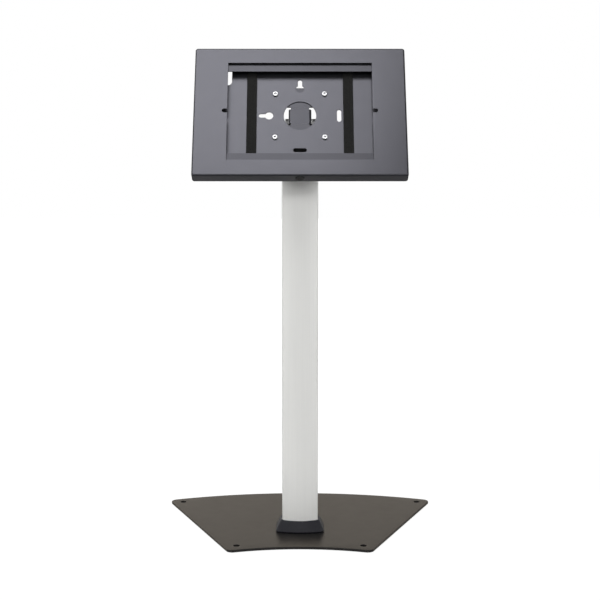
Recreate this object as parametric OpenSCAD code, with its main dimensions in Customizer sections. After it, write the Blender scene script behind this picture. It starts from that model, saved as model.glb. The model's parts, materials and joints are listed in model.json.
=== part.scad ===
// Floor stand for a tablet: a flat steel base, an oval aluminium column and a
// tilting, lockable enclosure. Millimetres, +Z up, and the front faces -Y.
// The origin is the middle of the outline, on the floor.

/* [Base plate] */
// From the column's axis back to the middle of the curved rear edge
base_rear = 209; // [150:1:260]
// From the column's axis forward to the middle of the hollow front edge
base_front = 95; // [85:1:150]
// Width of the plate beside the column
base_mid_w = 310; // [260:1:380]
// Slant of the side edges, in degrees
base_side_angle = 22.6; // [12:0.1:26]
// Radius of the curved rear edge
rear_arc_r = 585; // [480:5:900]
// Radius of the hollow front edge
front_arc_r = 330; // [300:5:900]
// Radius of the plate's rear corners
rear_corner_r = 12; // [8:1:18]
// Radius of the plate's front corners
front_corner_r = 10; // [8:1:20]
// Thickness of the plate
base_t = 4; // [3:0.5:8]
// Diameter of the floor anchor holes
anchor_d = 10; // [6:0.5:14]
// From the side edges to the rear anchor holes
rear_anchor_side = 18; // [16:1:28]
// From the rear edge to the rear anchor holes
rear_anchor_end = 19; // [16:1:28]
// From the side edges to the front anchor holes
front_anchor_side = 20; // [16:1:28]
// From the front edge to the front anchor holes
front_anchor_end = 20.5; // [16:0.5:28]
// Diameter of the rubber feet
pad_d = 22; // [14:1:26]
// Height of the rubber feet
pad_h = 2; // [1:0.5:6]
// From the plate's edges to the middles of the feet
pad_inset = 50; // [48:1:60]

/* [Column] */
// Height of the tilt axis above the floor
pivot_h = 644; // [560:1:1200]
// Width of the column
column_w = 56; // [50:1:70]
// Depth of the column
column_d = 40; // [38:1:46]
// Radius of the bowed front and back of the column
column_bow_r = 53; // [48:1:80]
// Radius of the column's corners
column_corner_r = 5; // [3.5:0.5:7]
// Wall of the column
column_wall = 2.2; // [1.6:0.1:3]
// Bore of the screw ports inside the column
port_d = 4.2; // [3.6:0.1:5]
// Outer diameter of the screw ports
port_boss_d = 7.6; // [7:0.1:9]
// From the column's middle to the screw ports, sideways
port_x = 17; // [16:0.5:19]
// How deep the screws reach into their ports
port_screw_reach = 16; // [10:1:30]

/* [Foot cover] */
// Height of the cover round the column's foot
collar_h = 18; // [12:1:30]
// Height of the upright rim at the cover's bottom
collar_rim_h = 3.5; // [2:0.5:6]
// How far the cover stands out from the column at the top
collar_top_out = 3; // [2:0.1:6]
// How far the cover stands out from the column at the bottom
collar_bottom_out = 10; // [7:0.5:16]
// Radius of the cover's bowed front and back
collar_bow_r = 105; // [75:5:200]
// Radius of the cover's corners
collar_corner_r = 9; // [7:0.5:14]

/* [Neck and tilt joint] */
// Thickness of the cap on the column
cap_t = 4; // [2:0.5:8]
// Thickness of the neck's flange
neck_flange_t = 5; // [4:0.5:8]
// From the flange up to the tilt axis
neck_h = 45; // [38:1:60]
// Width of the neck between the tilt plate's ears
neck_w = 22.4; // [18:0.2:24]
// Radius of the round eye on the neck and on the ears
eye_r = 12; // [10:0.5:14]
// Diameter of the pivot bolt
bolt_d = 8; // [6:0.5:10]
// Thickness of the friction washers
washer_t = 3.3; // [1:0.1:4]
// Thickness of the spring washer
spring_washer_t = 1.5; // [1:0.1:2.5]
// Thickness of the pivot nut
pivot_nut_t = 6.5; // [5:0.5:9]
// How far the enclosure leans back, in degrees
head_tilt = 29; // [0:1:60]

/* [Tilt plate] */
// Thickness of the plate and its ears
plate_t = 2.5; // [2:0.1:3]
// Width of the plate
plate_w = 100; // [92:1:110]
// Height of the plate
plate_h = 98.6; // [92:0.2:110]
// Height of the waist, where the ears are bent back
waist_h = 31.6; // [26:0.2:36]
// Height of the notches that let the ears bend
ear_notch_h = 3.8; // [2:0.2:5]
// Reach of these notches toward the middle
ear_notch_in = 3.5; // [3:0.5:6]
// From the front of the enclosure back to the tilt axis
pivot_set = 40; // [36:0.5:50]
// Spacing of the square of screws that hold the tray
screw_square = 75; // [75:25:75]

/* [Enclosure] */
// Width of the enclosure
case_w = 321; // [300:1:380]
// Height of the enclosure
case_h = 220; // [210:1:260]
// Depth of the front frame
case_d = 19; // [18:0.5:24]
// Sheet thickness of the front frame
frame_t = 1.5; // [1:0.1:2]
// Radius of the frame's corners
frame_corner_r = 4; // [3:0.5:8]
// Radius of the frame's front edges
frame_edge_r = 3; // [1:0.1:3.2]
// Width of the window
window_w = 219; // [200:1:226]
// Height of the window
window_h = 167; // [150:1:168]
// Height of the camera notches beside the window
notch_h = 6.4; // [4:0.2:10]
// How far the camera notches reach into the frame
notch_l = 8; // [5:0.5:14]
// Sheet thickness of the tray
tray_t = 1.5; // [1:0.1:2]
// From the front of the enclosure back to the tray
tray_set = 15.5; // [15:0.1:16]
// From the front of the enclosure back to the edge of the tray's walls
tray_wall_set = 3.5; // [3:0.1:6]
// Gap between the frame's side walls and the tray
side_gap = 0.8; // [0.6:0.1:1.5]
// Gap between the frame's top and bottom walls and the tray
end_gap = 1.6; // [1.3:0.1:2]
// Diameter of the tray's middle hole
middle_hole_d = 49; // [40:1:56]
// From the middle of the tray to its wall-mounting slots
slot_ring = 59.3; // [56:0.1:64]
// Width of the wall-mounting slots
slot_w = 6.4; // [5:0.1:8]
// Length of the plain slots
slot_l = 20.5; // [14:0.5:26]
// Diameter of the keyholes' round ends
keyhole_d = 12.6; // [10:0.1:15]
// From the keyholes' narrow ends to their round ends
keyhole_l = 12.4; // [10:0.2:14]
// Width of the opening for a tablet's rear camera
camera_hole_w = 30; // [20:1:40]
// Height of the opening for a tablet's rear camera
camera_hole_h = 32; // [20:1:36]
// From the middle of the tray to the camera opening's near side
camera_hole_x = 104.3; // [104:0.1:110]
// From the middle of the tray up to the camera opening's lower side
camera_hole_z = 53.7; // [50:0.1:60]
// Radius of the camera opening's corners
camera_hole_r = 6; // [3:0.5:9]

/* [Foam strips] */
// Width of a strip
foam_w = 15.2; // [10:0.2:18]
// Gap between a strip's ends and the bars
foam_end_gap = 8; // [2:0.5:16]
// Thickness of a strip
foam_t = 3; // [1.5:0.1:4]
// Gap between a strip and the bars' feet
foam_side_gap = 3.2; // [1:0.2:8]

/* [Holding bars] */
// Length of the bars
bar_l = 225; // [221:1:230]
// Sheet thickness of the bars
bar_t = 1.5; // [1:0.1:2]
// From the front of the enclosure back to the bars
bar_set = 4; // [3:0.1:5]
// Height of a bar from its free edge to its outer edge
bar_h = 26.7; // [25:0.1:28]
// How far the bars slide outward
bar_travel = 7; // [4:0.5:7]
// Gap left between a bar and the tray's wall at the end of its slide
bar_end_gap = 0.9; // [0.5:0.1:3]
// Width of a bar's feet
bar_foot_w = 20; // [14:1:20]
// From a bar's ends to its feet
bar_foot_end = 8.5; // [2:0.5:12]
// Length of a bar's feet, from the outer edge inward
bar_foot_h = 20.5; // [18:0.5:22]
// From a bar's outer edge to its screws
bar_screw_set = 6.5; // [5:0.5:8]
// Width of the stops that a tablet's edge meets
bar_stop_w = 30; // [15:1:36]
// Gap between the stops and the foam strips
bar_stop_gap = 5.6; // [2:0.2:12]
// From a bar's free edge to its stops
bar_stop_set = 3.7; // [2:0.1:6]
// How far the stops reach back
bar_stop_d = 7; // [4:0.5:8]

/* [Frame hinges] */
// From the bars' screws out to the middle of a hinge
hinge_out = 21; // [18:1:30]
// Length of the tray's knuckle
tray_knuckle_l = 16; // [10:1:24]
// Length of each of the frame's knuckles
frame_knuckle_l = 8; // [6:1:12]
// Outer diameter of the knuckles
knuckle_d = 6; // [5:0.5:7]
// Diameter of the hinge pins
hinge_pin_d = 3; // [2:0.1:4]
// Height of the hinge leaf on the tray's back
leaf_h = 18; // [12:1:24]

/* [Lock] */
// Diameter of the lock's face
lock_face_d = 14; // [12:0.5:15]
// How far the lock's face stands out
lock_face_t = 1.2; // [0.6:0.1:2]
// Diameter of the lock's barrel
lock_barrel_d = 10; // [9:0.5:10.5]
// How far the barrel reaches into the enclosure
lock_barrel_l = 10; // [9:0.5:10.5]
// Diameter of the turning plug
lock_plug_d = 7; // [6:0.5:7.5]
// From the front of the enclosure back to the lock's axis
lock_set = 8.6; // [8.4:0.1:8.8]
// Thickness of the lock's nut
lock_nut_t = 3; // [2:0.5:4]
// Width across the flats of the lock's nut
lock_nut_af = 12; // [11.5:0.1:12.5]
// Width of the lock's cam
cam_w = 5; // [4.6:0.2:5.6]
// Reach of the cam from its axis
cam_reach = 6.4; // [5.5:0.1:6.4]
// Thickness of the cam
cam_t = 2; // [1.5:0.1:2.5]
// Width of the keeper that the cam catches
keeper_w = 8.6; // [6:0.2:10]
// Sheet thickness of the keeper
keeper_t = 1.5; // [1:0.1:1.6]

/* [Fits] */
// Play round a screw in a plain hole
screw_play = 0.25; // [0.1:0.05:0.5]
// Radial clearance of a turning fit
turn_fit = 0.05; // [0.02:0.01:0.09]
// Gap between the column and its foot cover
sleeve_gap = 0.3; // [0.2:0.05:0.6]
// Gap between faces that move past each other
run_gap = 0.4; // [0.3:0.05:0.6]

/* [Hidden] */
$fn = 64;

// Metric screws and nuts of the small hardware
m4_r = 2;
m4_head_r = 4;
m4_head_h = 2.4;
m4_nut_af = 7;
m4_nut_t = 3.2;
screw_end = 0.8;
thread_play = 0.05;
sink_head_r = 4.4;
sink_head_h = 2.4;
bolt_nut_af = 13;
bolt_head_t = 5.3;
// Margin by which a cut runs past a face
past = 1;
arc_steps = 12;
corner_steps = 6;

// Heights up the column
base_top = pad_h + base_t;
neck_flange_z = pivot_h - neck_h - neck_flange_t;
column_top = neck_flange_z - cap_t;

// Plan of the base, with the column's axis at its origin
rear_centre = [0, base_rear - rear_arc_r];
front_centre = [0, -base_front - front_arc_r];
side_dir = [sin(base_side_angle), cos(base_side_angle)];
side_in = [-cos(base_side_angle), sin(base_side_angle)];

// Point at a distance in from both a side edge and an end arc of the base
function along(start, reach) =
  -start * side_dir + sqrt(pow(start * side_dir, 2) - start * start + reach * reach);
function tucked(side, centre, reach) =
  let (start = [base_mid_w / 2, 0] + side * side_in)
  start + along(start - centre, reach) * side_dir;
function rear_spot(side, end) = tucked(side, rear_centre, rear_arc_r - end);
function front_spot(side, end) = tucked(side, front_centre, front_arc_r + end);

rear_fillet = rear_spot(rear_corner_r, rear_corner_r);
front_fillet = front_spot(front_corner_r, front_corner_r);
rear_anchor = rear_spot(rear_anchor_side, rear_anchor_end);
front_anchor = front_spot(front_anchor_side, front_anchor_end);
rear_pad = rear_spot(pad_inset, pad_inset);
front_pad = front_spot(pad_inset, pad_inset);
base_foremost = front_fillet.y - front_corner_r;
column_y = -(base_rear + base_foremost) / 2;

// Screw ports lie against the column's bowed walls
port_y = column_d / 2 - column_bow_r
  + sqrt(pow(column_bow_r - column_wall, 2) - pow(port_x, 2))
  - port_boss_d / 2 + column_wall / 2;

// Tray, bars, hinges and lock, in the enclosure's upright frame
tray_w = case_w - 2 * (frame_t + side_gap);
tray_h = case_h - 2 * (frame_t + end_gap);
tray_back = tray_set + tray_t;
plate_back = tray_back + plate_t;
ear_in = neck_w / 2 + washer_t + run_gap;
ear_out = ear_in + plate_t;
bar_outer = tray_h / 2 - tray_t - bar_travel - bar_end_gap;
bar_inner = bar_outer - bar_h;
bar_foot_x = bar_l / 2 - bar_foot_end - bar_foot_w / 2;
bar_back = tray_set - run_gap;
bar_screw_z = bar_outer - bar_screw_set;
foam_l = 2 * (bar_outer - bar_t - foam_end_gap);
foam_x = bar_foot_x - bar_foot_w / 2 - foam_side_gap - foam_w / 2;
bar_stop_x = foam_x - foam_w / 2 - bar_stop_gap - bar_stop_w / 2;
hinge_x = bar_foot_x + hinge_out;
knuckle_r = knuckle_d / 2;
hinge_z = case_h / 2 - knuckle_r;
hinge_set = tray_back + run_gap + knuckle_r;
hinge_half = tray_knuckle_l / 2 + run_gap + frame_knuckle_l;
lock_y = lock_set - pivot_set;
lock_floor = -case_h / 2;
barrel_top = lock_floor + lock_barrel_l;
cam_low = barrel_top + 2 * run_gap;
cam_top = cam_low + cam_t;
cam_stud_r = 1.75;
cam_screw_r = 1;
cam_screw_head_r = 2.3;
cam_screw_h = 2;
cam_screw_l = 6;
key_slot = [0.8, 5.2, 6];
keeper_low = cam_top - cam_t / 2;
keeper_arm = cam_top + cam_screw_h + 2 * run_gap;
keeper_x = cam_w / 2 + run_gap;
keeper_set = lock_set - cam_w / 2 - run_gap - keeper_t;
keeper_foot_h = 10;

// Foot cover at the floor
collar_w = column_w + 2 * collar_bottom_out;
collar_d = column_d + 2 * collar_bottom_out;
collar_shrink = [(column_w + 2 * collar_top_out) / collar_w, (column_d + 2 * collar_top_out) / collar_d];
lock_room = keeper_x + keeper_w + 4;

echo(column_y = column_y, column_top = column_top, tray_w = tray_w, tray_h = tray_h);
echo(rear_anchor = rear_anchor, front_anchor = front_anchor, rear_pad = rear_pad, front_pad = front_pad);
echo(hinge_z = hinge_z, hinge_set = hinge_set, foremost = base_foremost);

// Arc from one angle up to, but not including, another
function arc(centre, r, from, to, steps) =
  [for (i = [0:steps - 1]) let (a = from + (to - from) * i / steps) centre + r * [cos(a), sin(a)]];

// Whole outline from its right half, which starts and ends on the middle line
function mirrored(half) =
  concat(half, [for (i = [len(half) - 2:-1:1]) [-half[i].x, half[i].y]]);

function heading(from, to) = atan2(to.y - from.y, to.x - from.x);

base_outline = mirrored(concat(
  arc(rear_centre, rear_arc_r, 90, heading(rear_centre, rear_fillet), arc_steps),
  arc(rear_fillet, rear_corner_r, heading(rear_centre, rear_fillet), -base_side_angle, corner_steps),
  arc(front_fillet, front_corner_r, -base_side_angle, heading(front_fillet, front_centre), corner_steps),
  arc(front_centre, front_arc_r, heading(front_centre, front_fillet), 90, arc_steps),
  [[0, -base_front]]
));

// Rectangle with a bowed front and back and rounded corners
function bowed_rect(w, d, bow, r) =
  let (
    corner_x = w / 2 - r,
    bow_y = bow - d / 2,
    corner_y = bow_y - sqrt(pow(bow - r, 2) - pow(corner_x, 2)),
    spread = asin(corner_x / (bow - r))
  )
  mirrored(concat(
    arc([0, bow_y], bow, -90, spread - 90, arc_steps),
    arc([corner_x, corner_y], r, spread - 90, 0, corner_steps),
    arc([corner_x, -corner_y], r, 0, 90 - spread, corner_steps),
    arc([0, -bow_y], bow, 90 - spread, 90, arc_steps),
    [[0, d / 2]]
  ));

// The column's section, grown outward by a distance
function column_outline(out) =
  bowed_rect(column_w + 2 * out, column_d + 2 * out, column_bow_r + out, column_corner_r + out);

collar_outline = bowed_rect(collar_w, collar_d, collar_bow_r, collar_corner_r);

function round_rect(w, h, r) = mirrored(concat(
  [[0, -h / 2]],
  arc([w / 2 - r, r - h / 2], r, -90, 0, corner_steps),
  arc([w / 2 - r, h / 2 - r], r, 0, 90, corner_steps),
  [[w / 2 - r, h / 2], [0, h / 2]]
));

module at_column() translate([0, column_y, 0]) children();

module at_ports() for (x = [-port_x, port_x], y = [-port_y, port_y]) translate([x, y, 0]) children();

module at_both_sides(spots)
  for (side = [-1, 1], spot = spots) translate([side * spot.x, spot.y, 0]) children();

// The enclosure is drawn upright about its tilt axis, and then leans back
module at_head() at_column() translate([0, 0, pivot_h]) rotate([-head_tilt, 0, 0]) children();

// Flat sheet from one depth behind the enclosure's front to another
module sheet(from, to)
  translate([0, to - pivot_set, 0]) rotate([90, 0, 0]) linear_extrude(to - from) children();

// Profile of depth and height, drawn along the width from one place to another
module across(from, to) translate([from, 0, 0]) rotate([90, 0, 90]) linear_extrude(to - from) children();

// Round rod along the width, at a depth and a height
module rod(from, to, r, y = 0, z = 0)
  translate([from, y, z]) rotate([0, 90, 0]) cylinder(r = r, h = to - from);

// Hexagonal prism along +Z
module hex(af, h) cylinder(d = af / cos(30), h = h, $fn = 6);

module slot(l, w) {
  square([l - w, w], center = true);
  for (x = [w - l, l - w]) translate([x / 2, 0]) circle(d = w);
}

module keyhole() {
  circle(d = slot_w);
  translate([-keyhole_l, -slot_w / 2]) square([keyhole_l, slot_w]);
  translate([-keyhole_l, 0]) circle(d = keyhole_d);
}

module at_screw_square()
  for (x = [-1, 1], z = [-1, 1]) translate([x * screw_square / 2, z * screw_square / 2]) children();

module at_bar_screws()
  for (x = [-1, 1], z = [-1, 1]) translate([x * bar_foot_x, z * bar_screw_z]) children();

module base_plate() color("#5b554d") at_column() difference() {
  translate([0, 0, pad_h]) linear_extrude(base_t) polygon(base_outline);
  at_both_sides([rear_anchor, front_anchor])
    translate([0, 0, pad_h - past]) cylinder(d = anchor_d, h = base_t + 2 * past);
  at_ports() {
    translate([0, 0, pad_h - past]) cylinder(r = port_d / 2 + screw_play, h = base_t + 2 * past);
    translate([0, 0, pad_h - past]) cylinder(r = sink_head_r + screw_play, h = sink_head_h + past);
  }
}

module foot_pads() color("#202022") at_column()
  at_both_sides([rear_pad, front_pad]) cylinder(d = pad_d, h = pad_h);

module column() color("#d4d4d2") at_column() difference() {
  union() {
    translate([0, 0, base_top]) linear_extrude(column_top - base_top) difference() {
      polygon(column_outline(0));
      polygon(column_outline(-column_wall));
    }
    at_ports() translate([0, 0, base_top]) cylinder(d = port_boss_d, h = column_top - base_top);
  }
  at_ports() translate([0, 0, base_top - past]) cylinder(d = port_d, h = column_top - base_top + 2 * past);
}

module base_screws() color("#3c3c3e") at_column() at_ports() translate([0, 0, pad_h]) {
  cylinder(r = sink_head_r, h = sink_head_h);
  cylinder(r = port_d / 2 - thread_play, h = base_t + port_screw_reach);
}

module base_cover() color("#26272b") at_column() difference() {
  translate([0, 0, base_top]) {
    linear_extrude(collar_rim_h) polygon(collar_outline);
    translate([0, 0, collar_rim_h]) linear_extrude(
      collar_h - collar_rim_h, slices = 1, scale = collar_shrink
    ) polygon(collar_outline);
  }
  translate([0, 0, base_top - past]) linear_extrude(collar_h + 2 * past) polygon(column_outline(sleeve_gap));
}

module column_cap() color("#1f2022") at_column() difference() {
  translate([0, 0, column_top]) linear_extrude(cap_t) polygon(column_outline(0));
  at_ports() translate([0, 0, column_top - past]) cylinder(r = m4_r + screw_play, h = cap_t + 2 * past);
}

module neck_bracket() color("#1d1e20") at_column() difference() {
  union() {
    translate([0, 0, neck_flange_z]) linear_extrude(neck_flange_t) polygon(column_outline(-1));
    translate([0, 0, pivot_h]) {
      rod(-neck_w / 2, neck_w / 2, eye_r);
      translate([-neck_w / 2, -eye_r, -neck_h]) cube([neck_w, 2 * eye_r, neck_h]);
    }
  }
  translate([0, 0, pivot_h]) rod(-neck_w / 2 - past, neck_w / 2 + past, bolt_d / 2 + turn_fit);
  at_ports() translate([0, 0, neck_flange_z - past])
    cylinder(r = m4_r + screw_play, h = neck_flange_t + 2 * past);
}

module neck_screws() color("#b9babc") at_column() at_ports()
  translate([0, 0, neck_flange_z + neck_flange_t]) {
    cylinder(r = m4_head_r - 0.2, h = m4_head_h);
    translate([0, 0, -neck_flange_t - cap_t - port_screw_reach])
      cylinder(r = m4_r, h = neck_flange_t + cap_t + port_screw_reach);
  }

module friction_washers() color("#e2dfd6") at_column() translate([0, 0, pivot_h])
  for (side = [0, 1]) mirror([side, 0, 0]) difference() {
    rod(neck_w / 2, neck_w / 2 + washer_t, eye_r - 1);
    rod(neck_w / 2 - past, ear_in + past, bolt_d / 2 + turn_fit);
  }

module tilt_plate() color("#3f4044") at_head() difference() {
  union() {
    sheet(tray_back, plate_back) difference() {
      square([plate_w, plate_h], center = true);
      for (side = [-1, 1]) {
        translate([side * (ear_out + plate_w / 2), 0]) square([plate_w, waist_h], center = true);
        for (end = [-1, 1])
          translate([side * (ear_out - ear_notch_in + plate_w / 2), end * (waist_h - ear_notch_h) / 2])
            square([plate_w, ear_notch_h], center = true);
      }
      at_screw_square() circle(r = m4_r + screw_play);
    }
    for (side = [0, 1]) mirror([side, 0, 0]) across(ear_in, ear_out) {
      polygon([
        [tray_back - pivot_set, ear_notch_h - waist_h / 2], [0, -eye_r],
        [0, eye_r], [tray_back - pivot_set, waist_h / 2 - ear_notch_h]
      ]);
      circle(r = eye_r);
    }
  }
  rod(-ear_out - past, ear_out + past, bolt_d / 2 + turn_fit);
}

module pivot_bolt() color("#c9cacc") at_head() {
  rod(-ear_out, ear_out + spring_washer_t + pivot_nut_t + screw_end, bolt_d / 2);
  translate([-ear_out, 0, 0]) rotate([0, -90, 0]) hex(bolt_nut_af, bolt_head_t);
}

module spring_washer() color("#a9aaad") at_head() difference() {
  rod(ear_out, ear_out + spring_washer_t, bolt_nut_af / 2 + 1);
  rod(ear_out - past, ear_out + spring_washer_t + past, bolt_d / 2 + turn_fit);
}

module pivot_nut() color("#c9cacc") at_head() difference() {
  translate([ear_out + spring_washer_t, 0, 0]) rotate([0, 90, 0]) hex(bolt_nut_af, pivot_nut_t);
  rod(ear_out, ear_out + spring_washer_t + pivot_nut_t + past, bolt_d / 2 + thread_play);
}

module tray_holes() {
  circle(d = middle_hole_d);
  at_screw_square() circle(r = m4_r + screw_play);
  at_bar_screws() circle(r = m4_r + screw_play);
  for (turn = [90, 180]) rotate(turn) translate([slot_ring, 0]) keyhole();
  for (turn = [0, 270]) rotate(turn) translate([slot_ring, 0]) rotate(90) slot(slot_l, slot_w);
  translate([-camera_hole_x - camera_hole_w / 2, camera_hole_z + camera_hole_h / 2])
    polygon(round_rect(camera_hole_w, camera_hole_h, camera_hole_r));
}

module back_tray() color("#3d3e42") at_head() {
  difference() {
    sheet(tray_wall_set, tray_back)
      polygon(round_rect(tray_w, tray_h, frame_corner_r - frame_t));
    sheet(tray_wall_set - past, tray_set)
      square([tray_w - 2 * tray_t, tray_h - 2 * tray_t], center = true);
    sheet(tray_set - past, tray_back + past) tray_holes();
    translate([-lock_nut_af * 0.7, tray_wall_set - past - pivot_set, -tray_h / 2 - past])
      cube([lock_nut_af * 1.4, tray_set - tray_wall_set + past, tray_t + 2 * past]);
  }
  for (side = [-1, 1]) translate([side * hinge_x, 0, 0]) difference() {
    union() {
      translate([0, 0, hinge_z - leaf_h / 2]) sheet(tray_back, tray_back + tray_t)
        square([tray_knuckle_l, leaf_h], center = true);
      rod(-tray_knuckle_l / 2, tray_knuckle_l / 2, knuckle_r, hinge_set - pivot_set, hinge_z);
    }
    rod(-hinge_half, hinge_half, hinge_pin_d / 2 + thread_play, hinge_set - pivot_set, hinge_z);
  }
}

module vesa_screws() color("#dfe0e1") at_head() {
  sheet(tray_set - m4_head_h, tray_set) at_screw_square() circle(r = m4_head_r);
  sheet(tray_set, plate_back + m4_nut_t + screw_end) at_screw_square() circle(r = m4_r);
}

module vesa_nuts() color("#b9babc") at_head() sheet(plate_back, plate_back + m4_nut_t)
  at_screw_square() difference() {
    circle(d = m4_nut_af / cos(30), $fn = 6);
    circle(r = m4_r + thread_play);
  }

module foam_strip(side) at_head() sheet(tray_set - foam_t, tray_set)
  translate([side * foam_x, 0]) square([foam_w, foam_l], center = true);

module foam_strip_left() color("#232322") foam_strip(-1);

module foam_strip_right() color("#232322") foam_strip(1);

module bar_screws() color("#b9babc") at_head() {
  sheet(bar_back - bar_t - run_gap - m4_head_h, bar_back - bar_t - run_gap)
    at_bar_screws() circle(r = m4_head_r);
  sheet(bar_back - bar_t - run_gap, tray_back + m4_nut_t + screw_end) at_bar_screws() circle(r = m4_r);
}

module bar_nuts() color("#b9babc") at_head() sheet(tray_back, tray_back + m4_nut_t)
  at_bar_screws() difference() {
    circle(d = m4_nut_af / cos(30), $fn = 6);
    circle(r = m4_r + thread_play);
  }

module lock_keeper() color("#6c6d70") at_head() {
  sheet(keeper_set, tray_set) translate([keeper_x, keeper_arm]) square([keeper_w, keeper_t]);
  sheet(keeper_set, keeper_set + keeper_t)
    translate([keeper_x, keeper_low]) square([keeper_w, keeper_arm - keeper_low + keeper_t]);
  sheet(tray_set - keeper_t, tray_set)
    translate([keeper_x, keeper_arm]) square([keeper_w, keeper_foot_h]);
}

module hinge_pins() color("#b9babc") at_head() for (side = [-1, 1])
  translate([side * hinge_x, 0, 0])
    rod(-hinge_half, hinge_half, hinge_pin_d / 2, hinge_set - pivot_set, hinge_z);

// Upper bar: a front strip with stops, a web along its outer edge and two slotted feet
module holding_bar() difference() {
  union() {
    sheet(bar_set, bar_set + bar_t) translate([-bar_l / 2, bar_inner]) square([bar_l, bar_h]);
    sheet(bar_set, bar_back) translate([-bar_l / 2, bar_outer - bar_t]) square([bar_l, bar_t]);
    for (side = [-1, 1]) {
      sheet(bar_back - bar_t, bar_back)
        translate([side * bar_foot_x - bar_foot_w / 2, bar_outer - bar_foot_h])
          square([bar_foot_w, bar_foot_h]);
      sheet(bar_set, bar_set + bar_t + bar_stop_d)
        translate([side * bar_stop_x - bar_stop_w / 2, bar_inner + bar_stop_set])
          square([bar_stop_w, bar_t]);
    }
  }
  for (side = [-1, 1]) {
    sheet(bar_set - past, bar_set + bar_t + past) translate([side * bar_foot_x, bar_screw_z])
      circle(r = m4_head_r + screw_play);
    sheet(bar_back - bar_t - past, bar_back + past)
      translate([side * bar_foot_x, bar_screw_z - bar_travel / 2]) rotate(90)
        slot(bar_travel + 2 * (m4_r + run_gap), 2 * (m4_r + run_gap));
  }
}

module upper_bar() color("#393b40") at_head() holding_bar();

module lower_bar() color("#35373a") at_head() difference() {
  mirror([0, 0, 1]) holding_bar();
  translate([-lock_room, bar_set - past - pivot_set, -bar_outer - past])
    cube([2 * lock_room, tray_set, bar_outer + keeper_arm + keeper_t + run_gap + bar_travel + past]);
}

module frame_window() {
  square([window_w, window_h], center = true);
  slot(window_w + 2 * notch_l, notch_h);
}

// Section of the frame's block with rounded front edges: depth along the first axis
function edge_section(w) = concat(
  [[case_d - pivot_set, -w / 2]],
  [[case_d - pivot_set, w / 2]],
  arc([frame_edge_r - pivot_set, w / 2 - frame_edge_r], frame_edge_r, 90, 180, corner_steps),
  [[-pivot_set, w / 2 - frame_edge_r]],
  arc([frame_edge_r - pivot_set, frame_edge_r - w / 2], frame_edge_r, 180, 270, corner_steps),
  [[frame_edge_r - pivot_set, -w / 2]]
);

module frame_block() intersection() {
  sheet(0, case_d) polygon(round_rect(case_w, case_h, frame_corner_r));
  across(-case_w / 2, case_w / 2) polygon(edge_section(case_h));
  translate([0, 0, -case_h / 2]) linear_extrude(case_h)
    polygon([for (p = edge_section(case_w)) [p.y, p.x]]);
}

module front_frame() color("#3e3f44") at_head() {
  difference() {
    frame_block();
    sheet(frame_t, case_d + past)
      polygon(round_rect(case_w - 2 * frame_t, case_h - 2 * frame_t, frame_corner_r - frame_t));
    sheet(-past, frame_t + past) frame_window();
    translate([0, lock_y, lock_floor - past])
      cylinder(r = lock_barrel_d / 2 + screw_play, h = frame_t + 2 * past);
    for (side = [-1, 1]) translate([
      side * hinge_x - tray_knuckle_l / 2 - run_gap,
      hinge_set - knuckle_r - 2 * run_gap - pivot_set,
      case_h / 2 - frame_t - past
    ]) cube([tray_knuckle_l + 2 * run_gap, case_d, frame_t + 2 * past]);
  }
  for (side = [-1, 1], end = [-1, 1])
    translate([side * hinge_x + end * (hinge_half - frame_knuckle_l / 2), 0, 0]) difference() {
      union() {
        sheet(case_d - past, hinge_set) translate([-frame_knuckle_l / 2, case_h / 2 - frame_t])
          square([frame_knuckle_l, frame_t]);
        rod(-frame_knuckle_l / 2, frame_knuckle_l / 2, knuckle_r, hinge_set - pivot_set, hinge_z);
      }
      rod(-frame_knuckle_l, frame_knuckle_l, hinge_pin_d / 2 + turn_fit, hinge_set - pivot_set, hinge_z);
    }
}

module at_lock() at_head() translate([0, lock_y, 0]) children();

module lock_body() color("#8d8e90") at_lock() difference() {
  union() {
    translate([0, 0, lock_floor - lock_face_t]) cylinder(d = lock_face_d, h = lock_face_t);
    translate([0, 0, lock_floor]) cylinder(d = lock_barrel_d, h = lock_barrel_l);
  }
  translate([0, 0, lock_floor - lock_face_t - past])
    cylinder(r = lock_plug_d / 2 + turn_fit, h = lock_barrel_l + lock_face_t + 2 * past);
}

module lock_nut() color("#8d8e90") at_lock() translate([0, 0, lock_floor + frame_t]) difference() {
  rotate(30) hex(lock_nut_af, lock_nut_t);
  translate([0, 0, -past]) cylinder(r = lock_barrel_d / 2 + thread_play, h = lock_nut_t + 2 * past);
}

module lock_plug() color("#a5a6a8") at_lock() difference() {
  union() {
    translate([0, 0, lock_floor - lock_face_t])
      cylinder(d = lock_plug_d, h = cam_low - lock_floor + lock_face_t);
    translate([0, 0, cam_low]) cylinder(r = cam_stud_r, h = cam_t);
  }
  translate([-key_slot.x / 2, -key_slot.y / 2, lock_floor - lock_face_t - past])
    cube(key_slot + [0, 0, past]);
  translate([0, 0, cam_top - cam_screw_l - past])
    cylinder(r = cam_screw_r + thread_play, h = cam_screw_l + 2 * past);
}

module lock_cam() color("#8d8e90") at_lock() translate([0, 0, cam_low]) linear_extrude(cam_t) difference() {
  union() {
    circle(d = cam_w);
    translate([-cam_w / 2, 0]) square([cam_w, cam_reach - cam_w / 2]);
    translate([0, cam_reach - cam_w / 2]) circle(d = cam_w);
  }
  circle(r = cam_stud_r + thread_play);
}

module cam_screw() color("#b9babc") at_lock() {
  translate([0, 0, cam_top]) cylinder(r = cam_screw_head_r, h = cam_screw_h);
  translate([0, 0, cam_top - cam_screw_l]) cylinder(r = cam_screw_r, h = cam_screw_l);
}

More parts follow.
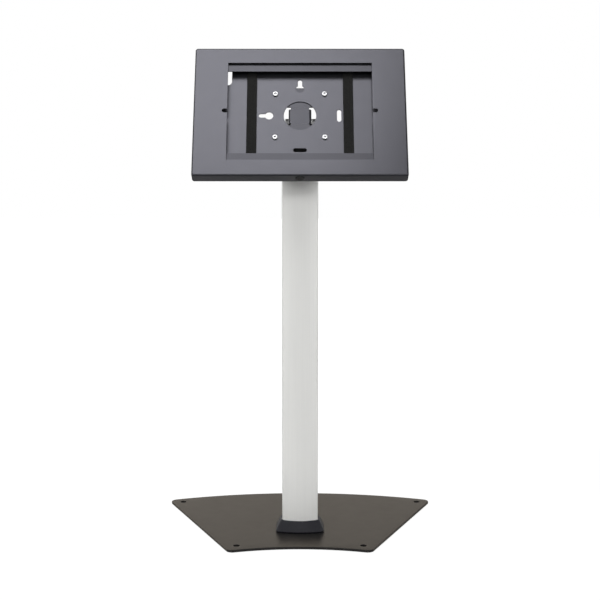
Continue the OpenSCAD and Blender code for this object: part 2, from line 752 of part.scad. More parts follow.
base_plate();
foot_pads();
column();
base_screws();
base_cover();
column_cap();
neck_bracket();
neck_screws();
friction_washers();
tilt_plate();
pivot_bolt();
spring_washer();
pivot_nut();
back_tray();
vesa_screws();
vesa_nuts();
foam_strip_left();
foam_strip_right();
bar_screws();
bar_nuts();
lock_keeper();
hinge_pins();
upper_bar();
lower_bar();
front_frame();
lock_body();
lock_nut();
lock_plug();
lock_cam();
cam_screw();
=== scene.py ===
import json
from math import asin, atan2, cos, pi, radians, sin, sqrt, tan

import bmesh
import bpy
from mathutils import Matrix, Vector, noise


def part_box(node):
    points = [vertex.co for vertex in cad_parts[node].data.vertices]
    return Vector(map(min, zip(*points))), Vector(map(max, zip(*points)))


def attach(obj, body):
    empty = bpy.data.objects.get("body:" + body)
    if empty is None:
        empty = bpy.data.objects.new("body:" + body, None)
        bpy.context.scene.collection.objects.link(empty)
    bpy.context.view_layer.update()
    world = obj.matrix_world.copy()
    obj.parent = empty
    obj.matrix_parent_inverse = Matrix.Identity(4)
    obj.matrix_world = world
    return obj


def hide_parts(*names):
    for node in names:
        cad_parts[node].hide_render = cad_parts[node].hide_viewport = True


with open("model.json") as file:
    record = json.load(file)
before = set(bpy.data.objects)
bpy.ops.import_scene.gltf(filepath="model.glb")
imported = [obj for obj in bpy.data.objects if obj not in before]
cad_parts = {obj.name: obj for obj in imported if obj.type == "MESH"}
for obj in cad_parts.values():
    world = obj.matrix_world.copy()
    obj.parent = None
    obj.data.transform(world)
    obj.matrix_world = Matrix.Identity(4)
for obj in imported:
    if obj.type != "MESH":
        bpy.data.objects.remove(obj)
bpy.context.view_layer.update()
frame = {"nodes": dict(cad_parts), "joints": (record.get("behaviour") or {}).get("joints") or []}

MM = 0.001
NODES = frame["nodes"]
JOINTS = {joint["name"]: joint for joint in frame["joints"]}

# The enclosure's own axes: x across, y into its depth and z up its face
PIVOT = Vector(JOINTS["head_tilt"]["pos_m"])
FACE_UP = Vector(JOINTS["top_bar_slide"]["axis"])
LEAN = atan2(FACE_UP.y, FACE_UP.z)
HEAD = Matrix.Translation(PIVOT) @ Matrix.Rotation(-LEAN, 4, "X")
COLUMN_Y = PIVOT.y


def head_box(node):
    """Lowest and highest corner of a CAD node along the enclosure's own axes."""
    back = HEAD.inverted()
    points = [back @ v.co for v in NODES[node].data.vertices]
    low = Vector([min(p[i] for p in points) for i in range(3)])
    high = Vector([max(p[i] for p in points) for i in range(3)])
    return low, high


FRAME_LOW, FRAME_HIGH = head_box("front_frame")
TRAY_LOW, TRAY_HIGH = head_box("back_tray")
BAR_LOW, BAR_HIGH = head_box("upper_bar")
FOAM_LOW, FOAM_HIGH = head_box("foam_strip_right")
PINS_LOW, PINS_HIGH = head_box("hinge_pins")
KEEPER_LOW, KEEPER_HIGH = head_box("lock_keeper")
BASE_LOW, BASE_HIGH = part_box("base_plate")
COLUMN_LOW, COLUMN_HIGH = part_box("column")
COLLAR_LOW, COLLAR_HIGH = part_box("base_cover")
CAP_LOW, CAP_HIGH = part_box("column_cap")
NECK_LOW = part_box("neck_bracket")[0]
FRONT = FRAME_LOW.y

# Sizes that follow the CAD model, in metres
CASE_W = FRAME_HIGH.x - FRAME_LOW.x
CASE_H = 2 * FRAME_HIGH.z
CASE_D = 19 * MM
SHEET = 1.5 * MM
CASE_CORNER = 4 * MM
CASE_BEND = 2.6 * MM
WINDOW_W = 219 * MM
WINDOW_H = 167 * MM
NOTCH_H = 6.4 * MM
NOTCH_L = 8 * MM
TRAY_W = TRAY_HIGH.x - TRAY_LOW.x
TRAY_H = -2 * TRAY_LOW.z
TRAY_LIP = TRAY_LOW.y - FRONT
TRAY_SET = 15.5 * MM
TRAY_BACK = TRAY_SET + SHEET
TRAY_BEND = 2.1 * MM
MIDDLE_HOLE_R = 24.5 * MM
SLOT_RING = 59.3 * MM
SLOT_W = 6.4 * MM
SLOT_L = 20.5 * MM
KEYHOLE_R = 6.3 * MM
KEYHOLE_L = 12.4 * MM
CAMERA_HOLE = (30 * MM, 32 * MM, 6 * MM)
CAMERA_AT = (-119.3 * MM, 69.7 * MM)
SCREW_SQUARE = 75 * MM
HOLE_R = 2.25 * MM
BAR_X = 94 * MM
BAR_SCREW_SET = 6.5 * MM
BAR_SET = BAR_LOW.y - FRONT
BAR_BACK = BAR_HIGH.y - FRONT
BAR_L = BAR_HIGH.x - BAR_LOW.x
BAR_OUTER = BAR_HIGH.z
BAR_INNER = BAR_LOW.z
BAR_BEND = 2.6 * MM
PLATE_T = 2.5 * MM
PLATE_BACK = TRAY_BACK + PLATE_T
PLATE_W = 100 * MM
PLATE_H = 98.6 * MM
WAIST_H = 31.6 * MM
EAR_NOTCH_H = 3.8 * MM
EAR_NOTCH_IN = 3.5 * MM
EAR_IN = 14.9 * MM
EAR_OUT = EAR_IN + PLATE_T
EYE_R = 12 * MM
PIVOT_SET = -FRONT
BOLT_R = 4 * MM
HINGE_X = 115 * MM
HINGE_SET = (PINS_LOW.y + PINS_HIGH.y) / 2 - FRONT
HINGE_Z = (PINS_LOW.z + PINS_HIGH.z) / 2
KNUCKLE_R = 3 * MM
PIN_R = 1.5 * MM
TRAY_KNUCKLE = 16 * MM
FRAME_KNUCKLE = 8 * MM
RUN_GAP = 0.4 * MM
FIT = 0.05 * MM
EDGE = 0.3 * MM
LOCK_SET = 8.6 * MM
M4_R = 2 * MM
M4_HEAD_R = 4 * MM
M4_HEAD_H = 2.4 * MM
M4_NUT = 7 * MM
M4_NUT_T = 3.2 * MM
SCREW_END = 0.8 * MM
M4_PITCH = 0.7 * MM
COLUMN_W = 56 * MM
COLUMN_D = 40 * MM
COLUMN_BOW = 53 * MM
COLUMN_CORNER = 5 * MM
COLUMN_WALL = 2.2 * MM
PORTS = [(x * 17 * MM, y * 12.2 * MM) for x in (-1, 1) for y in (-1, 1)]


# Outlines, as lists of points that run counterclockwise

def arc(cx, cy, r, start, end, steps):
    """Points on an arc, both ends included; angles in degrees."""
    turns = [radians(start + (end - start) * i / steps) for i in range(steps + 1)]
    return [(cx + r * cos(a), cy + r * sin(a)) for a in turns]


def circle(r, cx=0.0, cy=0.0, steps=48):
    return arc(cx, cy, r, 0, 360, steps)[:-1]


def round_rect(w, h, r, cx=0.0, cy=0.0, steps=6):
    points = []
    for sx, sy, start in ((1, -1, -90), (1, 1, 0), (-1, 1, 90), (-1, -1, 180)):
        points += arc(cx + sx * (w / 2 - r), cy + sy * (h / 2 - r), r, start, start + 90, steps)
    return points


def turned(points, degrees, dx=0.0, dy=0.0):
    c, s = cos(radians(degrees)), sin(radians(degrees))
    return [(x * c - y * s + dx, x * s + y * c + dy) for x, y in points]


def stadium(length, width):
    r = width / 2
    half = length / 2 - r
    return arc(half, 0, r, -90, 90, 12) + arc(-half, 0, r, 90, 270, 12)


def keyhole():
    """Narrow end at the origin, round end toward -X."""
    reach = asin(SLOT_W / 2 / KEYHOLE_R) * 180 / pi
    narrow = arc(0, 0, SLOT_W / 2, -90, 90, 12)
    return narrow + arc(-KEYHOLE_L, 0, KEYHOLE_R, reach, 360 - reach, 28)


def grown(points, out):
    """A counterclockwise outline moved outward by a distance."""
    moved = []
    for i, (bx, by) in enumerate(points):
        ax, ay = points[i - 1]
        cx, cy = points[(i + 1) % len(points)]
        first = Vector((by - ay, ax - bx)).normalized()
        second = Vector((cy - by, bx - cx)).normalized()
        middle = (first + second).normalized()
        reach = out / max(middle.dot(first), 0.35)
        moved.append((bx + middle.x * reach, by + middle.y * reach))
    return moved


def eased(points, ease, steps=3, closed=True):
    """A polyline whose corners are rounded by about a distance, or by one distance for each."""
    result = []
    last = len(points) - 1
    for i, point in enumerate(points):
        amount = ease[i] if isinstance(ease, (list, tuple)) else ease
        if amount == 0 or (not closed and i in (0, last)):
            result.append(point)
            continue
        here = Vector(point)
        before = Vector(points[i - 1]) - here
        after = Vector(points[(i + 1) % len(points)]) - here
        start = here + before.normalized() * min(amount, before.length * 0.49)
        end = here + after.normalized() * min(amount, after.length * 0.49)
        for k in range(steps + 1):
            t = k / steps
            spot = start * (1 - t) ** 2 + here * 2 * t * (1 - t) + end * t ** 2
            result.append((spot.x, spot.y))
    return result


def mirrored(half):
    """A whole outline from its right half, whose ends lie on the middle line."""
    return half + [(-x, y) for x, y in half[-2:0:-1]]


def bowed_rect(w, d, bow, r, groove=0.0):
    """Rectangle with a bowed front and back, with an optional fine groove beside each corner."""
    corner_x = w / 2 - r
    bow_y = bow - d / 2
    corner_y = bow_y - sqrt((bow - r) ** 2 - corner_x ** 2)
    spread = asin(corner_x / (bow - r)) * 180 / pi
    # Half of a groove's width, in degrees about the bow's centre
    line = 0.35
    lines = []
    if groove:
        lines = [(spread - 3 * line, 0), (spread - 2 * line, groove), (spread - line, 0)]

    def cut(y, sign):
        spots = [(radians(sign * (90 - a)), bow - depth) for a, depth in lines]
        return [(reach * cos(a), y + reach * sin(a)) for a, reach in spots]

    front = arc(0, bow_y, bow, -90, spread - 90 - 4 * line, 16)
    front += cut(bow_y, -1)
    low_corner = arc(corner_x, corner_y, r, spread - 90, 0, 8)
    high_corner = arc(corner_x, -corner_y, r, 0, 90 - spread, 8)
    back = cut(-bow_y, 1)[::-1]
    back += arc(0, -bow_y, bow, 90 - spread + 4 * line, 90, 16)
    return mirrored(front + low_corner + high_corner[1:] + back)


def column_outline(out, groove=0.0):
    """The column's section grown by a distance."""
    width, depth = COLUMN_W + 2 * out, COLUMN_D + 2 * out
    return bowed_rect(width, depth, COLUMN_BOW + out, COLUMN_CORNER + out, groove)


def tube(inner, outer, low, high):
    """Section of a ring, as radii and heights."""
    return [(inner, low), (outer, low), (outer, high), (inner, high)]


def rod(r, low, high):
    """Section of a round rod, as radii and heights."""
    return [(0, low), (r, low), (r, high), (0, high)]


# Mesh building

def ring(bm, points, z):
    return [bm.verts.new((x, y, z)) for x, y in points]


def circle_ring(bm, r, z, steps):
    return ring(bm, circle(r, steps=steps), z)


def bridge(bm, low, high):
    for i in range(len(low)):
        j = (i + 1) % len(low)
        bm.faces.new((low[i], low[j], high[j], high[i]))


def bridge_all(bm, rings, closed=False):
    for low, high in zip(rings, rings[1:]):
        bridge(bm, low, high)
    if closed:
        bridge(bm, rings[-1], rings[0])


def bridge_solid(bm, rings):
    """Faces between rings, and one over each end."""
    bridge_all(bm, rings)
    bm.faces.new(rings[0])
    bm.faces.new(rings[-1])
    return bm


def fill(bm, rings):
    """Flat faces between an outer ring and the rings of its holes."""
    if len(rings) == 1:
        bm.faces.new(rings[0])
        return
    edges = []
    for loop in rings:
        for a, b in zip(loop, loop[1:] + loop[:1]):
            edges.append(bm.edges.get((a, b)) or bm.edges.new((a, b)))
    bmesh.ops.triangle_fill(bm, use_beauty=True, use_dissolve=False, edges=edges)


def edge_levels(low, high, edge):
    """Insets and heights up the side of a plate with rounded edges."""
    turns = (0, pi / 4, pi / 2)
    start = [(edge * (1 - sin(a)), low + edge * (1 - cos(a))) for a in turns]
    return start + [(inset, low + high - z) for inset, z in reversed(start)]


def plate(bm, outer, holes, levels):
    """Closes outer rings with two flat faces, through which holes go."""
    bridge_all(bm, outer)
    bottoms, tops = [outer[0]], [outer[-1]]
    for hole in holes:
        walls = [ring(bm, grown(hole, inset), z) for inset, z in levels]
        bridge_all(bm, walls)
        bottoms.append(walls[0])
        tops.append(walls[-1])
    fill(bm, bottoms)
    fill(bm, tops)
    return bm


def slab(outline, holes, low, high, edge=EDGE):
    """A plate between two heights, with rounded edges and holes."""
    bm = bmesh.new()
    levels = edge_levels(low, high, edge)
    outer = [ring(bm, grown(outline, -inset), z) for inset, z in levels]
    return plate(bm, outer, holes, levels)


def pan(width, height, corner, bend, depth, holes):
    """A folded tray of sheet: its floor's outside at height 0 and its walls up to a depth."""
    bm = bmesh.new()
    turns = [pi / 2 * i / 6 for i in range(7)]
    inner = bend - SHEET
    section = [(bend * (1 - sin(a)), bend * (1 - cos(a))) for a in turns]
    section += [(0, depth - EDGE), (EDGE, depth), (SHEET - EDGE, depth), (SHEET, depth - EDGE)]
    for a in reversed(turns):
        section.append((SHEET + inner * (1 - sin(a)), SHEET + inner * (1 - cos(a))))
    least = 0.3 * MM
    outer = []
    for inset, z in section:
        outline = round_rect(width - 2 * inset, height - 2 * inset, max(corner - inset, least))
        outer.append(ring(bm, outline, z))
    return plate(bm, outer, holes, edge_levels(0, SHEET, EDGE))


def lathe(profile, steps=48, closed=False):
    """Points of radius and height turned about Z; a point on the axis closes an end."""
    bm = bmesh.new()
    rings = []
    for r, z in profile:
        if r < 1e-7:
            rings.append([bm.verts.new((0, 0, z))])
        else:
            rings.append(circle_ring(bm, r, z, steps))
    pairs = list(zip(rings, rings[1:]))
    if closed:
        pairs.append((rings[-1], rings[0]))
    for low, high in pairs:
        if len(low) == len(high):
            bridge(bm, low, high)
            continue
        tip, loop = (low[0], high) if len(low) == 1 else (high[0], low)
        for i in range(len(loop)):
            bm.faces.new((tip, loop[i], loop[(i + 1) % len(loop)]))
    return bm


def thread(r, low, high, pitch, depth):
    """Profile of a threaded rod between two heights, from its root to its crests."""
    turns = max(1, int((high - low) / pitch))
    points = []
    for i in range(turns):
        z = low + i * pitch
        points += [(r - depth, z), (r, z + pitch * 0.4), (r, z + pitch * 0.6)]
    return points + [(r - depth, low + turns * pitch)]


def hex_r(flats, a):
    """Radius of a hexagon of a width across its flats, at an angle."""
    part = (a + pi / 6) % (pi / 3) - pi / 6
    return flats / 2 / cos(part)


def cross_r(reach, half, a):
    """Radius of a plus sign at an angle."""
    c, s = abs(cos(a)), abs(sin(a))
    return min(reach / max(c, s), half / max(min(c, s), 1e-6))


def box_r(half_x, half_y, a):
    """Radius of a rectangle at an angle."""
    return min(half_x / max(abs(cos(a)), 1e-6), half_y / max(abs(sin(a)), 1e-6))


def polar(radius, steps):
    turns = [2 * pi * i / steps for i in range(steps)]
    return [(radius(a) * cos(a), radius(a) * sin(a)) for a in turns]


def hex_body(flats, low, high, bore, both=True):
    """Hexagon with chamfered ends and, where bore is above 0, a hole with chamfered mouths."""
    bm = bmesh.new()
    steps = 72
    chamfer = radians(28)
    face_r = flats / 2 * 0.95
    lip = 0.5 * MM

    def hex_ring(z, sign):
        loop = []
        for i in range(steps):
            a = 2 * pi * i / steps
            r = hex_r(flats, a)
            drop = (r - face_r) * tan(chamfer)
            loop.append(bm.verts.new((r * cos(a), r * sin(a), z + sign * drop)))
        return loop

    rings = [circle_ring(bm, bore + lip, low, steps)] if bore else []
    rings += [circle_ring(bm, face_r, low, steps), hex_ring(low, 1 if both else 0)]
    rings += [hex_ring(high, -1), circle_ring(bm, face_r, high, steps)]
    if not bore:
        return bridge_solid(bm, rings)
    inside = [(bore + lip, high), (bore, high - lip), (bore, low + lip)]
    rings += [circle_ring(bm, r, z, steps) for r, z in inside]
    bridge_all(bm, rings, closed=True)
    return bm


def screw(head_r, head_h, shank_r, length, pitch, recess, domed=True):
    """Screw with its head's underside at height 0, its head above and its shank below."""
    bm = bmesh.new()
    steps = 72
    crown = 0.24 if domed else 0.1
    flat = 1 - 1.1 * crown
    if recess == "cross":
        outline = polar(lambda a: cross_r(head_r * 0.56, head_r * 0.2, a), steps)
    else:
        outline = polar(lambda a: hex_r(head_r * 0.95, a), steps)
    sides = [(head_r * 0.97, 0), (head_r, 0.05 * head_h), (head_r, head_h * (1 - crown))]
    for i in range(1, 7):
        a = pi / 2 * i / 6
        sides.append((head_r * (flat + (1 - flat) * cos(a)), head_h * (1 - crown * (1 - sin(a)))))
    rings = [circle_ring(bm, r, z, steps) for r, z in sides]
    rings.append(ring(bm, outline, head_h * 0.995))
    rings.append(ring(bm, [(x * 0.5, y * 0.5) for x, y in outline], head_h * 0.15))
    bridge_all(bm, rings)
    bm.faces.new(rings[-1])
    root = 0.61 * pitch
    profile = [(shank_r, 0), (shank_r, -0.4 * pitch)]
    turns = max(1, int((length - pitch) / pitch))
    for i in range(turns):
        z = -0.4 * pitch - i * pitch
        profile.append((shank_r, z - 0.15 * pitch))
        profile.append((shank_r - root, z - 0.5 * pitch))
        profile.append((shank_r, z - 0.85 * pitch))
    profile += [(shank_r - root, -length + 0.1 * pitch), (shank_r - 1.4 * root, -length)]
    stem = [circle_ring(bm, r, z, steps) for r, z in profile]
    bridge(bm, rings[0], stem[0])
    bridge_all(bm, stem)
    bm.faces.new(stem[-1])
    return bm


def copies(source, places):
    """A copy of a mesh at each place."""
    shapes = [(source.copy(), place) for place in places]
    source.free()
    return shapes


def box_bm(low, high):
    bm = bmesh.new()
    bmesh.ops.create_cube(bm, size=1)
    size = Vector(high) - Vector(low)
    middle = (Vector(high) + Vector(low)) / 2
    bm.transform(Matrix.Translation(middle) @ Matrix.Diagonal((*size, 1)))
    return bm


def add(target, source, at):
    """Puts one mesh into another at a place."""
    source.transform(at)
    bmesh.ops.recalc_face_normals(source, faces=source.faces)
    scratch = bpy.data.meshes.new("scratch")
    source.to_mesh(scratch)
    source.free()
    target.from_mesh(scratch)
    bpy.data.meshes.remove(scratch)
    return target


def new_object(name, data):
    obj = bpy.data.objects.new(name, data)
    bpy.context.scene.collection.objects.link(obj)
    return obj


PIECES = []
CREASE = 32


def finish_mesh(obj, crease):
    mesh = obj.data
    mesh.polygons.foreach_set("use_smooth", [True] * len(mesh.polygons))
    mesh.set_sharp_from_angle(angle=radians(crease))
    mesh.update()


def piece(name, body, finish, node, shapes, crease=CREASE):
    """A piece from (mesh, place) pairs, that stands for a CAD node and rides on its body."""
    slot, material = finish
    bm = bmesh.new()
    for source, at in shapes:
        add(bm, source, at)
    mesh = bpy.data.meshes.new(name)
    bm.to_mesh(mesh)
    bm.free()
    obj = new_object(name, mesh)
    mesh.materials.append(material)
    finish_mesh(obj, crease)
    PIECES.append(obj)
    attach(obj, body)
    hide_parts(node)
    return obj


def carve(obj, cutters):
    """Cuts (mesh, place) pairs out of a piece."""
    for source, at in cutters:
        mesh = bpy.data.meshes.new("cutter")
        bm = add(bmesh.new(), source, at)
        bm.to_mesh(mesh)
        bm.free()
        tool = new_object("cutter", mesh)
        cut = obj.modifiers.new("cut", "BOOLEAN")
        cut.object = tool
        cut.operation = "DIFFERENCE"
        cut.solver = "EXACT"
        bpy.context.view_layer.update()
        ready = obj.evaluated_get(bpy.context.evaluated_depsgraph_get())
        result = bpy.data.meshes.new_from_object(ready)
        obj.modifiers.clear()
        obj.data = result
        bpy.data.objects.remove(tool)
        bpy.data.meshes.remove(mesh)
    obj.data.name = obj.name
    finish_mesh(obj, CREASE)


# Places

QUARTER_X = Matrix.Rotation(pi / 2, 4, "X")
QUARTER_Y = Matrix.Rotation(pi / 2, 4, "Y")
TURN_OVER = Matrix.Rotation(pi, 4, "X")
ALONG = Matrix(((0, 0, 1, 0), (1, 0, 0, 0), (0, 1, 0, 0), (0, 0, 0, 1)))
STAND_PIVOT = Matrix.Translation(PIVOT)


def at_column(z=0.0):
    return Matrix.Translation((0, COLUMN_Y, z))


def at_spots(spots, z=0.0):
    """Places beside the column's axis, at a height."""
    return [at_column(z) @ Matrix.Translation((x, y, 0)) for x, y in spots]


def in_head(x, depth, z):
    """A place in the enclosure, at a depth behind its front."""
    return HEAD @ Matrix.Translation((x, FRONT + depth, z))


def at_sheet(depth, x=0.0, z=0.0):
    """A sheet's plane at a depth behind the front: its height runs toward the front."""
    return in_head(x, depth, z) @ QUARTER_X


def at_back(depth, x=0.0, z=0.0):
    """A plane at a depth behind the front, whose height runs toward the rear."""
    return in_head(x, depth, z) @ Matrix.Rotation(-pi / 2, 4, "X")


def across(x):
    """Profiles of depth and height, drawn along the width from a place."""
    return in_head(x, 0, 0) @ ALONG


def on_axis(x, axes=HEAD):
    """Turned shapes about the pivot's axis."""
    return axes @ Matrix.Translation((x, 0, 0)) @ QUARTER_Y


def hinge_place(x):
    """Turned shapes about the hinges' axis."""
    return in_head(x, HINGE_SET, HINGE_Z) @ QUARTER_Y


# Materials

NOISE_LOW = 0.3
NOISE_HIGH = 0.7


def new_node(tree, kind, **inputs):
    """A node whose inputs take constants or outputs of nodes; _ is a space in their names."""
    node = tree.nodes.new("ShaderNode" + kind)
    for name, value in inputs.items():
        socket = node.inputs[name.replace("_", " ")]
        if isinstance(value, bpy.types.NodeSocket):
            tree.links.new(value, socket)
        else:
            socket.default_value = value
    return node


def new_material(name, metallic, specular):
    material = bpy.data.materials.new(name)
    material.use_nodes = True
    tree = material.node_tree
    shader = tree.nodes["Principled BSDF"]
    shader.inputs["Metallic"].default_value = metallic
    shader.inputs["Specular IOR Level"].default_value = specular
    return material, tree, shader, new_node(tree, "TexCoord").outputs["Object"]


def math_node(tree, operation, first, second):
    node = new_node(tree, "Math")
    node.operation = operation
    tree.links.new(first, node.inputs[0])
    tree.links.new(second, node.inputs[1])
    return node.outputs["Value"]


def map_range(tree, value, from_low, from_high, to_low, to_high):
    """A value moved from one range to another and held at its ends."""
    ends = {"From_Min": from_low, "From_Max": from_high, "To_Min": to_low, "To_Max": to_high}
    return new_node(tree, "MapRange", Value=value, **ends).outputs["Result"]


def noise_node(tree, vector, scale, detail=3.0):
    return new_node(tree, "TexNoise", Vector=vector, Scale=scale, Detail=detail).outputs["Fac"]


def colour_from(tree, shader, value, dark, light):
    ramp = new_node(tree, "ValToRGB", Fac=value)
    ends = ramp.color_ramp.elements
    ends[0].position = NOISE_LOW
    ends[1].position = NOISE_HIGH
    ends[0].color = (*dark, 1)
    ends[1].color = (*light, 1)
    tree.links.new(ramp.outputs["Color"], shader.inputs["Base Color"])


def rough_from(tree, shader, value, low, high):
    rough = map_range(tree, value, NOISE_LOW, NOISE_HIGH, low, high)
    tree.links.new(rough, shader.inputs["Roughness"])


def bump_from(tree, shader, value, strength, distance):
    bump = new_node(tree, "Bump", Height=value, Strength=strength, Distance=distance)
    tree.links.new(bump.outputs["Normal"], shader.inputs["Normal"])


def shades(colour, spread):
    return tuple(c * (1 - spread) for c in colour), tuple(c * (1 + spread) for c in colour)


def coated(
    name, colour, rough, specular, peel_scale, peel, spread=0.06, sheen_tint=(1, 1, 1), flake=0.0
):
    """Coat or moulded face: orange peel, faint clouds, uneven gloss and a share of metal flake."""
    material, tree, shader, vector = new_material(name, flake, specular)
    shader.inputs["Specular Tint"].default_value = (*sheen_tint, 1)
    colour_from(tree, shader, noise_node(tree, vector, 22.0, 4.0), *shades(colour, spread))
    rough_from(tree, shader, noise_node(tree, vector, 60.0), rough - 0.01, rough + 0.01)
    bump_from(tree, shader, noise_node(tree, vector, peel_scale, 2.0), peel, 0.15 * MM)
    return material


def lined(name, colour, rough, stretch, strength, metallic):
    """Metal with fine drawn lines."""
    material, tree, shader, vector = new_material(name, metallic, 0.5)
    stretched = new_node(tree, "Mapping", Vector=vector, Scale=stretch).outputs["Vector"]
    lines = noise_node(tree, stretched, 1.0, 4.0)
    colour_from(tree, shader, lines, *shades(colour, 0.02))
    rough_from(tree, shader, lines, rough - 0.02, rough + 0.02)
    bump_from(tree, shader, lines, strength, 0.05 * MM)
    return material


def plated(name, colour, rough, scale, strength):
    """Plated small hardware, with a faint grain."""
    material, tree, shader, vector = new_material(name, 1.0, 0.5)
    grain = noise_node(tree, vector, scale)
    colour_from(tree, shader, grain, *shades(colour, 0.05))
    rough_from(tree, shader, grain, rough - 0.05, rough + 0.08)
    bump_from(tree, shader, grain, strength, 0.03 * MM)
    return material


def open_foam(name, colour):
    """Open-cell foam, with pores from Voronoi cells."""
    material, tree, shader, vector = new_material(name, 0.0, 0.15)
    pores = new_node(tree, "TexVoronoi", Vector=vector, Scale=1300.0).outputs["Distance"]
    dark, light = shades(colour, 0.35)
    colour_from(tree, shader, pores, light, dark)
    shader.inputs["Roughness"].default_value = 0.95
    bump_from(tree, shader, pores, 0.6, 0.3 * MM)
    return material


# Each finish is the name of its slot with its material
GREY_COAT = {"peel_scale": 850.0, "peel": 0.03, "spread": 0.04, "sheen_tint": (0.88, 0.88, 1.0)}
FACE_PAINT = "grey_paint", coated(
    "grey_powder_coat", (0.017, 0.017, 0.019), rough=0.29, specular=0.55, **GREY_COAT
)
TRAY_PAINT = "grey_paint", coated(
    "grey_tray_coat", (0.017, 0.017, 0.019), rough=0.34, specular=0.64, **GREY_COAT
)
# A darker copy of the grey coat for the tilt plate and the bars, which sit back behind the frame: its
# darker colour is painted shade
SHADED_GREY_PAINT = "grey_paint", coated(
    "grey_coat_painted_shade", (0.015, 0.015, 0.017), rough=0.3, specular=0.4, **GREY_COAT
)
BASE_PAINT = "base_paint", coated(
    "base_powder_coat", (0.031, 0.03, 0.03), rough=0.33, specular=0.1, peel_scale=700.0,
    peel=0.05, spread=0.03, sheen_tint=(1.0, 0.9, 0.77), flake=0.55,
)
BLACK_PAINT = "black_paint", coated(
    "black_powder_coat", (0.02, 0.02, 0.022), rough=0.45, specular=0.4, peel_scale=800.0, peel=0.08
)
BLACK_PLASTIC = "black_plastic", coated(
    "black_moulded_plastic", (0.0125, 0.0125, 0.017), rough=0.42, specular=0.22,
    peel_scale=1600.0, peel=0.06,
)
RUBBER = "rubber_feet", coated(
    "foot_rubber", (0.018, 0.018, 0.018), rough=0.8, specular=0.2, peel_scale=500.0, peel=0.12
)
NYLON = "washer_plastic", coated(
    "washer_nylon", (0.62, 0.6, 0.54), rough=0.45, specular=0.4, peel_scale=400.0, peel=0.04,
    spread=0.03,
)
ALUMINIUM = "column_aluminium", lined(
    "satin_anodised_aluminium", (0.93, 0.93, 0.91), rough=0.63, stretch=(900.0, 900.0, 5.0),
    strength=0.012, metallic=0.85,
)
ZINC = "zinc_steel", plated(
    "zinc_plated_steel", (0.5, 0.5, 0.51), rough=0.42, scale=420.0, strength=0.05
)
NICKEL = "lock_metal", plated(
    "black_nickel_plated_brass", (0.05, 0.05, 0.05), rough=0.4, scale=500.0, strength=0.03
)
FOAM = "foam", open_foam("black_open_cell_foam", (0.014, 0.014, 0.0135))


# Stand: base and feet

BASE_REAR = 209 * MM
BASE_FRONT = 95 * MM
BASE_MID_W = 310 * MM
BASE_SIDE = 22.6
REAR_ARC = 585 * MM
FRONT_ARC = 330 * MM
REAR_CORNER = 12 * MM
FRONT_CORNER = 10 * MM
REAR_CENTRE = Vector((0, BASE_REAR - REAR_ARC))
FRONT_CENTRE = Vector((0, -BASE_FRONT - FRONT_ARC))
SIDE_DIR = Vector((sin(radians(BASE_SIDE)), cos(radians(BASE_SIDE))))
SIDE_IN = Vector((-cos(radians(BASE_SIDE)), sin(radians(BASE_SIDE))))


def tucked(side, centre, reach):
    """Point at a distance in from a side edge, on a circle about an end arc's centre."""
    start = Vector((BASE_MID_W / 2, 0)) + SIDE_IN * side
    away = start - centre
    slope = away.dot(SIDE_DIR)
    return start + SIDE_DIR * (sqrt(slope ** 2 - away.dot(away) + reach * reach) - slope)


def rear_spot(side, end):
    return tucked(side, REAR_CENTRE, REAR_ARC - end)


def front_spot(side, end):
    return tucked(side, FRONT_CENTRE, FRONT_ARC + end)


def on_both_sides(*spots):
    return [(side * spot.x, spot.y) for side in (-1, 1) for spot in spots]


def heading(start, end):
    return atan2(end.y - start.y, end.x - start.x) * 180 / pi


def base_outline():
    rear = rear_spot(REAR_CORNER, REAR_CORNER)
    front = front_spot(FRONT_CORNER, FRONT_CORNER)
    rear_turn = heading(REAR_CENTRE, rear)
    front_turn = heading(FRONT_CENTRE, front)
    half = arc(0, REAR_CENTRE.y, REAR_ARC, 90, rear_turn, 40)
    half += arc(rear.x, rear.y, REAR_CORNER, rear_turn, -BASE_SIDE, 10)[1:]
    half += arc(front.x, front.y, FRONT_CORNER, -BASE_SIDE, front_turn - 180, 10)
    half += arc(0, FRONT_CENTRE.y, FRONT_ARC, front_turn, 90, 40)[1:]
    return mirrored(half)[::-1]


ANCHOR_R = 5 * MM
SINK_R = 4.65 * MM
SINK_D = 2.4 * MM
SINK_HOLE_R = 2.35 * MM
anchors = on_both_sides(rear_spot(18 * MM, 19 * MM), front_spot(20 * MM, 20.5 * MM))
anchor_holes = [circle(ANCHOR_R, x, y) for x, y in anchors]
base_slab = slab(base_outline(), anchor_holes, BASE_LOW.z, BASE_HIGH.z, 0.7 * MM)
base = piece("coated_base_plate", "stand", BASE_PAINT, "base_plate", [(base_slab, at_column())])
sink = [(0, -MM), (SINK_R, -MM), (SINK_R, SINK_D), (SINK_HOLE_R, SINK_D)]
sink += [(SINK_HOLE_R, 5 * MM), (0, 5 * MM)]
carve(base, copies(lathe(sink), at_spots(PORTS, BASE_LOW.z)))

PAD_R = 11 * MM
PAD_IN = 50 * MM
pads = on_both_sides(rear_spot(PAD_IN, PAD_IN), front_spot(PAD_IN, PAD_IN))
pad = [(0, 0.3 * MM), (5 * MM, 0.3 * MM), (6 * MM, 0), (PAD_R - 0.7 * MM, 0), (PAD_R, 0.7 * MM)]
pad += [(PAD_R - 0.4 * MM, BASE_LOW.z), (0, BASE_LOW.z)]
piece("moulded_foot_pads", "stand", RUBBER, "foot_pads", copies(lathe(pad), at_spots(pads)))

# Stand: column, its cover and its cap

